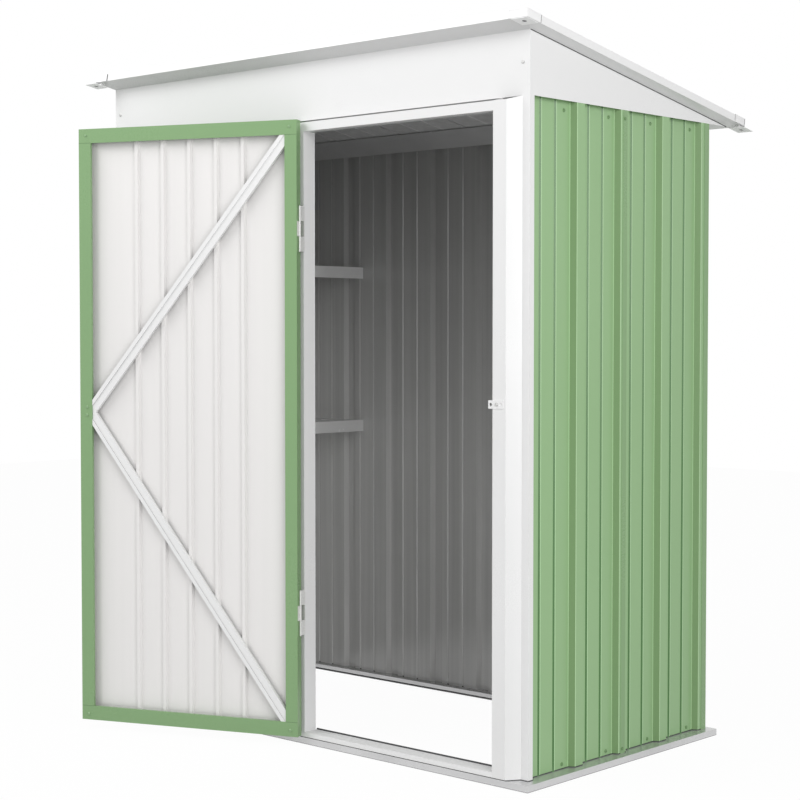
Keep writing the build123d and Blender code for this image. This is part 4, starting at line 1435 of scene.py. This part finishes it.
@dataclass
class Door:
    """The door: its framed sheet, braces, hinges, screws and pull."""

    palette: Palette
    hinge_knuckle: float = 3 * MM
    hinge_length: float = 117.5 * MM
    pin_share: float = 0.72
    pin_sides: int = 16
    corner_screw_inset: float = 17 * MM
    lock_screws: tuple[float, float] = (854.6 * MM, 876.3 * MM)
    lock_screw_inset: float = 21 * MM
    screw_washer: float = 3.7 * MM
    hinge_stile: float = 34 * MM
    lock_stile: float = 36 * MM
    joint_width: float = 0.9 * MM
    joint_proud: float = 0.15 * MM
    pull_height: float = 865.4 * MM
    pull_length: float = 96 * MM
    pull_reach: float = 32 * MM
    pull_bend: float = 11 * MM
    pull_steps: int = 7
    bar: float = 12 * MM
    bar_round: float = 2.4 * MM
    plate: float = 2 * MM
    plate_width: float = 28 * MM
    plate_round: float = 5 * MM
    plate_bevel: float = 0.6 * MM
    plate_slim: tuple[float, float] = (0.96, 0.988)

    def dress(self, nodes: Nodes) -> None:
        """Gives the door's nodes their finishes.

        Args:
            nodes: nodes of the frame.
        """
        inward, palette = self._way().inward(), self.palette
        green, brace = palette.green_trim, palette.brace_sheet(tuple(inward))
        for name, finish in (
            ("door_panel", palette.door_sheet(tuple(-inward))),
            ("door_stile_hinge", green),
            ("door_stile_lock", green),
            ("door_rail_top", green),
            ("door_rail_bottom", green),
            ("door_brace_upper", brace),
            ("door_brace_lower", brace),
            ("hinge_frame_leaves", palette.hinge),
            ("hinge_door_leaves", palette.hinge),
            ("door_handle", palette.black),
        ):
            assign(nodes[name], finish)

    def _way(self) -> Doorway:
        """The door's own frame."""
        low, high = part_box("hinge_frame_leaves")
        return Doorway(Vector((high.x - self.hinge_knuckle, low.y + self.hinge_knuckle, 0.0)))

    def build(self) -> None:
        """Builds the screws, the corner joints, the hinge pins and the pull."""
        way = self._way()
        low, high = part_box("door_rail_bottom")[0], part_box("door_rail_top")[1]
        first, last = way.edges()
        corners = [
            (across, height)
            for across in (first + self.lock_screw_inset, last - self.lock_screw_inset)
            for height in (low.z + self.corner_screw_inset, high.z - self.corner_screw_inset)
        ]
        corners += [(last - self.lock_screw_inset, height) for height in self.lock_screws]
        face = way.thickness / 2
        spots = [Spot(way.point(across, face, height), way.inward()) for across, height in corners]
        screw = Screw(washer_radius=self.screw_washer)
        screw.group("door_frame_screws", spots, Body.DOOR, self.palette.pale_screw)
        self._joints(way)
        self._pins(way)
        self._pull(way)

    def _joints(self, way: Doorway) -> None:
        """Builds the fine dark joints where the stiles meet the rails.

        Args:
            way: the door's frame.
        """
        mesh = bmesh.new()
        low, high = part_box("door_stile_lock")
        first, last = way.edges()
        half = self.joint_width / 2
        for start, width in ((first, self.hinge_stile), (last - self.lock_stile, self.lock_stile)):
            for height in (low.z, high.z):
                frame = way.frame(way.point(start, way.thickness / 2, height), way.inward())
                box_between(mesh, Vector((0.0, -half, -half)), Vector((width, self.joint_proud, half)), frame)
        piece(mesh, "door_frame_joints", self.palette.green_joint, Body.DOOR)

    def _pins(self, way: Doorway) -> None:
        """Builds the domed pins of both hinges.

        Args:
            way: the door's frame.
        """
        mesh = bmesh.new()
        radius = self.hinge_knuckle * self.pin_share
        dome = [(radius, -1 * MM), (radius, 0.8 * MM), (radius * 0.8, 1.5 * MM), (0.0, 1.8 * MM)]
        low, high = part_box("hinge_frame_leaves")
        for bottom in (low.z, high.z - self.hinge_length):
            for end, up in ((bottom, -1.0), (bottom + self.hinge_length, 1.0)):
                spot = Spot(Vector((way.axis.x, way.axis.y, end)), Vector((0.0, 0.0, up)))
                lathe(mesh, dome, self.pin_sides, spot.matrix())
        piece(mesh, "hinge_pins", self.palette.plated, Body.SHED)

    def _pull(self, way: Doorway) -> None:
        """Builds the door pull, which stands for the frame's plain one.

        Args:
            way: the door's frame.
        """
        across = way.edges()[1] - self.lock_screw_inset
        frame = way.frame(way.point(across, -way.thickness / 2, self.pull_height), -way.inward())
        mesh = bmesh.new()
        swept(mesh, rounded_square(self.bar / 2, self.bar_round, 3), self._bar_path(frame))
        self._plate(mesh, frame)
        made = piece(mesh, "door_pull", self.palette.black, Body.DOOR)
        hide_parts("door_handle")

    def _bar_path(self, frame: Matrix) -> list[Matrix]:
        """Path of the bowed bar.

        Args:
            frame: frame of the door's face behind the pull.

        Returns:
            The frames of its section, from its lower to its upper end.
        """
        half, reach = (self.pull_length - self.bar) / 2, self.pull_reach - self.bar / 2
        line = [(-half, 0.0)]
        for i in range(self.pull_steps + 1):
            angle = math.pi / 2 * i / self.pull_steps
            rise, out = self.pull_bend * (1 - math.cos(angle)), self.pull_bend * (1 - math.sin(angle))
            line.append((-half + rise, reach - out))
        line += [(-z, y) for z, y in reversed(line)]
        x_axis = Vector((1.0, 0.0, 0.0))
        path: list[Matrix] = []
        for i, (z, y) in enumerate(line):
            before, after = line[max(i - 1, 0)], line[min(i + 1, len(line) - 1)]
            ahead = Vector((0.0, after[1] - before[1], after[0] - before[0])).normalized()
            if i in (0, len(line) - 1):
                ahead = Vector((0.0, 1.0 if i == 0 else -1.0, 0.0))
            turn = Matrix((x_axis, ahead.cross(x_axis), ahead)).transposed().to_4x4()
            path.append(frame @ Matrix.Translation((0.0, y, z)) @ turn)
        return path

    def _plate(self, mesh: bmesh.types.BMesh, frame: Matrix) -> None:
        """Adds the bevelled plate behind the bar.

        Args:
            mesh: the pull's mesh.
            frame: frame of the door's face behind the pull.
        """
        stretch = (self.pull_length - self.plate_width) / 2
        corners = rounded_square(self.plate_width / 2, self.plate_round, 5)
        outline = [Vector((p.x, p.y + math.copysign(stretch, p.y), 0.0)) for p in corners]
        slim = [Vector((p.x * self.plate_slim[0], p.y * self.plate_slim[1], 0.0)) for p in outline]
        lay = frame @ Matrix(((1, 0, 0, 0), (0, 0, 1, 0), (0, 1, 0, 0), (0, 0, 0, 1)))
        rows = [(outline, 0.0), (outline, self.plate - self.plate_bevel), (slim, self.plate)]
        rings = [[mesh.verts.new(lay @ (p + Vector((0.0, 0.0, rise)))) for p in row] for row, rise in rows]
        bridge(mesh, rings)
        mesh.faces.new(rings[0])
        mesh.faces.new(rings[-1])


@dataclass(frozen=True)
class Lamp:
    """A soft rectangular lamp."""

    name: str
    place: Direction
    target: Direction
    size: tuple[float, float]
    watts: float

    def build(self) -> None:
        """Hangs the lamp."""
        data = bpy.data.lights.new(self.name, "AREA")
        data.shape = "RECTANGLE"
        data.size, data.size_y = self.size
        data.energy = self.watts
        lamp = bpy.data.objects.new(self.name, data)
        lamp.location = self.place
        lamp.rotation_euler = (Vector(self.target) - Vector(self.place)).to_track_quat("-Z", "Y").to_euler()
        bpy.context.scene.collection.objects.link(lamp)


@dataclass
class Studio:
    """Floor, lamps, background and camera."""

    eye: Direction = (3.3149, -3.2482, 1.0711)
    tilt: float = math.radians(90.0 - 2.117)
    heading: float = math.radians(42.346)
    lens: float = 79.198
    sensor: float = 36.0
    far_clip: float = 60.0
    floor_half: float = 9.0
    floor_cells: int = 12
    floor_drop: float = 0.5 * MM
    world_level: float = 0.44
    lamps: tuple[Lamp, ...] = (
        Lamp("side_light", (4.2, -1.7, 2.1), (0.3, 0.2, 1.0), (2.6, 3.0), 92.0),
        Lamp("front_light", (-1.5, -2.5, 3.5), (0.0, 0.0, 1.5), (3.0, 1.8), 78.0),
    )

    def build(self) -> None:
        """Builds the whole studio."""
        self._floor()
        self._world()
        for lamp in self.lamps:
            lamp.build()
        self._camera()

    def _floor(self) -> None:
        """Builds the floor."""
        mesh = bmesh.new()
        bmesh.ops.create_grid(
            mesh, x_segments=self.floor_cells, y_segments=self.floor_cells, size=self.floor_half
        )
        data = bpy.data.meshes.new("studio_floor")
        mesh.to_mesh(data)
        mesh.free()
        data.materials.append(StudioFloor("studio_floor").material())
        floor = bpy.data.objects.new("studio_floor", data)
        floor.location.z = -self.floor_drop
        bpy.context.scene.collection.objects.link(floor)

    def _world(self) -> None:
        """Makes the world white where it is seen, and plain light elsewhere."""
        world = bpy.data.worlds.new("studio_world")
        bpy.context.scene.world = world
        world.use_nodes = True
        tree = ShaderTree(world.node_tree)
        strength = self.world_level + (1.0 - self.world_level) * seen_rays(tree)
        light = tree.node("ShaderNodeBackground", {}, {"Color": (1.0, 1.0, 1.0, 1.0), "Strength": strength})
        tree.node("ShaderNodeOutputWorld", {}, {"Surface": light})

    def _camera(self) -> None:
        """Adds the camera at the photograph's viewing angle."""
        data = bpy.data.cameras.new("camera")
        data.lens = self.lens
        data.sensor_width = self.sensor
        data.clip_end = self.far_clip
        camera = bpy.data.objects.new("camera", data)
        camera.location = self.eye
        camera.rotation_euler = (self.tilt, 0.0, self.heading)
        bpy.context.scene.collection.objects.link(camera)
        bpy.context.scene.camera = camera


def main() -> None:
    """Builds the shed's looks in order."""
    logging.basicConfig(level=logging.INFO, format="%(message)s")
    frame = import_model()
    bpy.context.scene.view_settings.view_transform = "Standard"
    palette = Palette()
    for assembly in (Walls(palette), Trims(palette), Roof(palette), Base(palette), Door(palette)):
        assembly.dress(frame["nodes"])
        assembly.build()
    Studio().build()


if __name__ == "__main__":
    main()
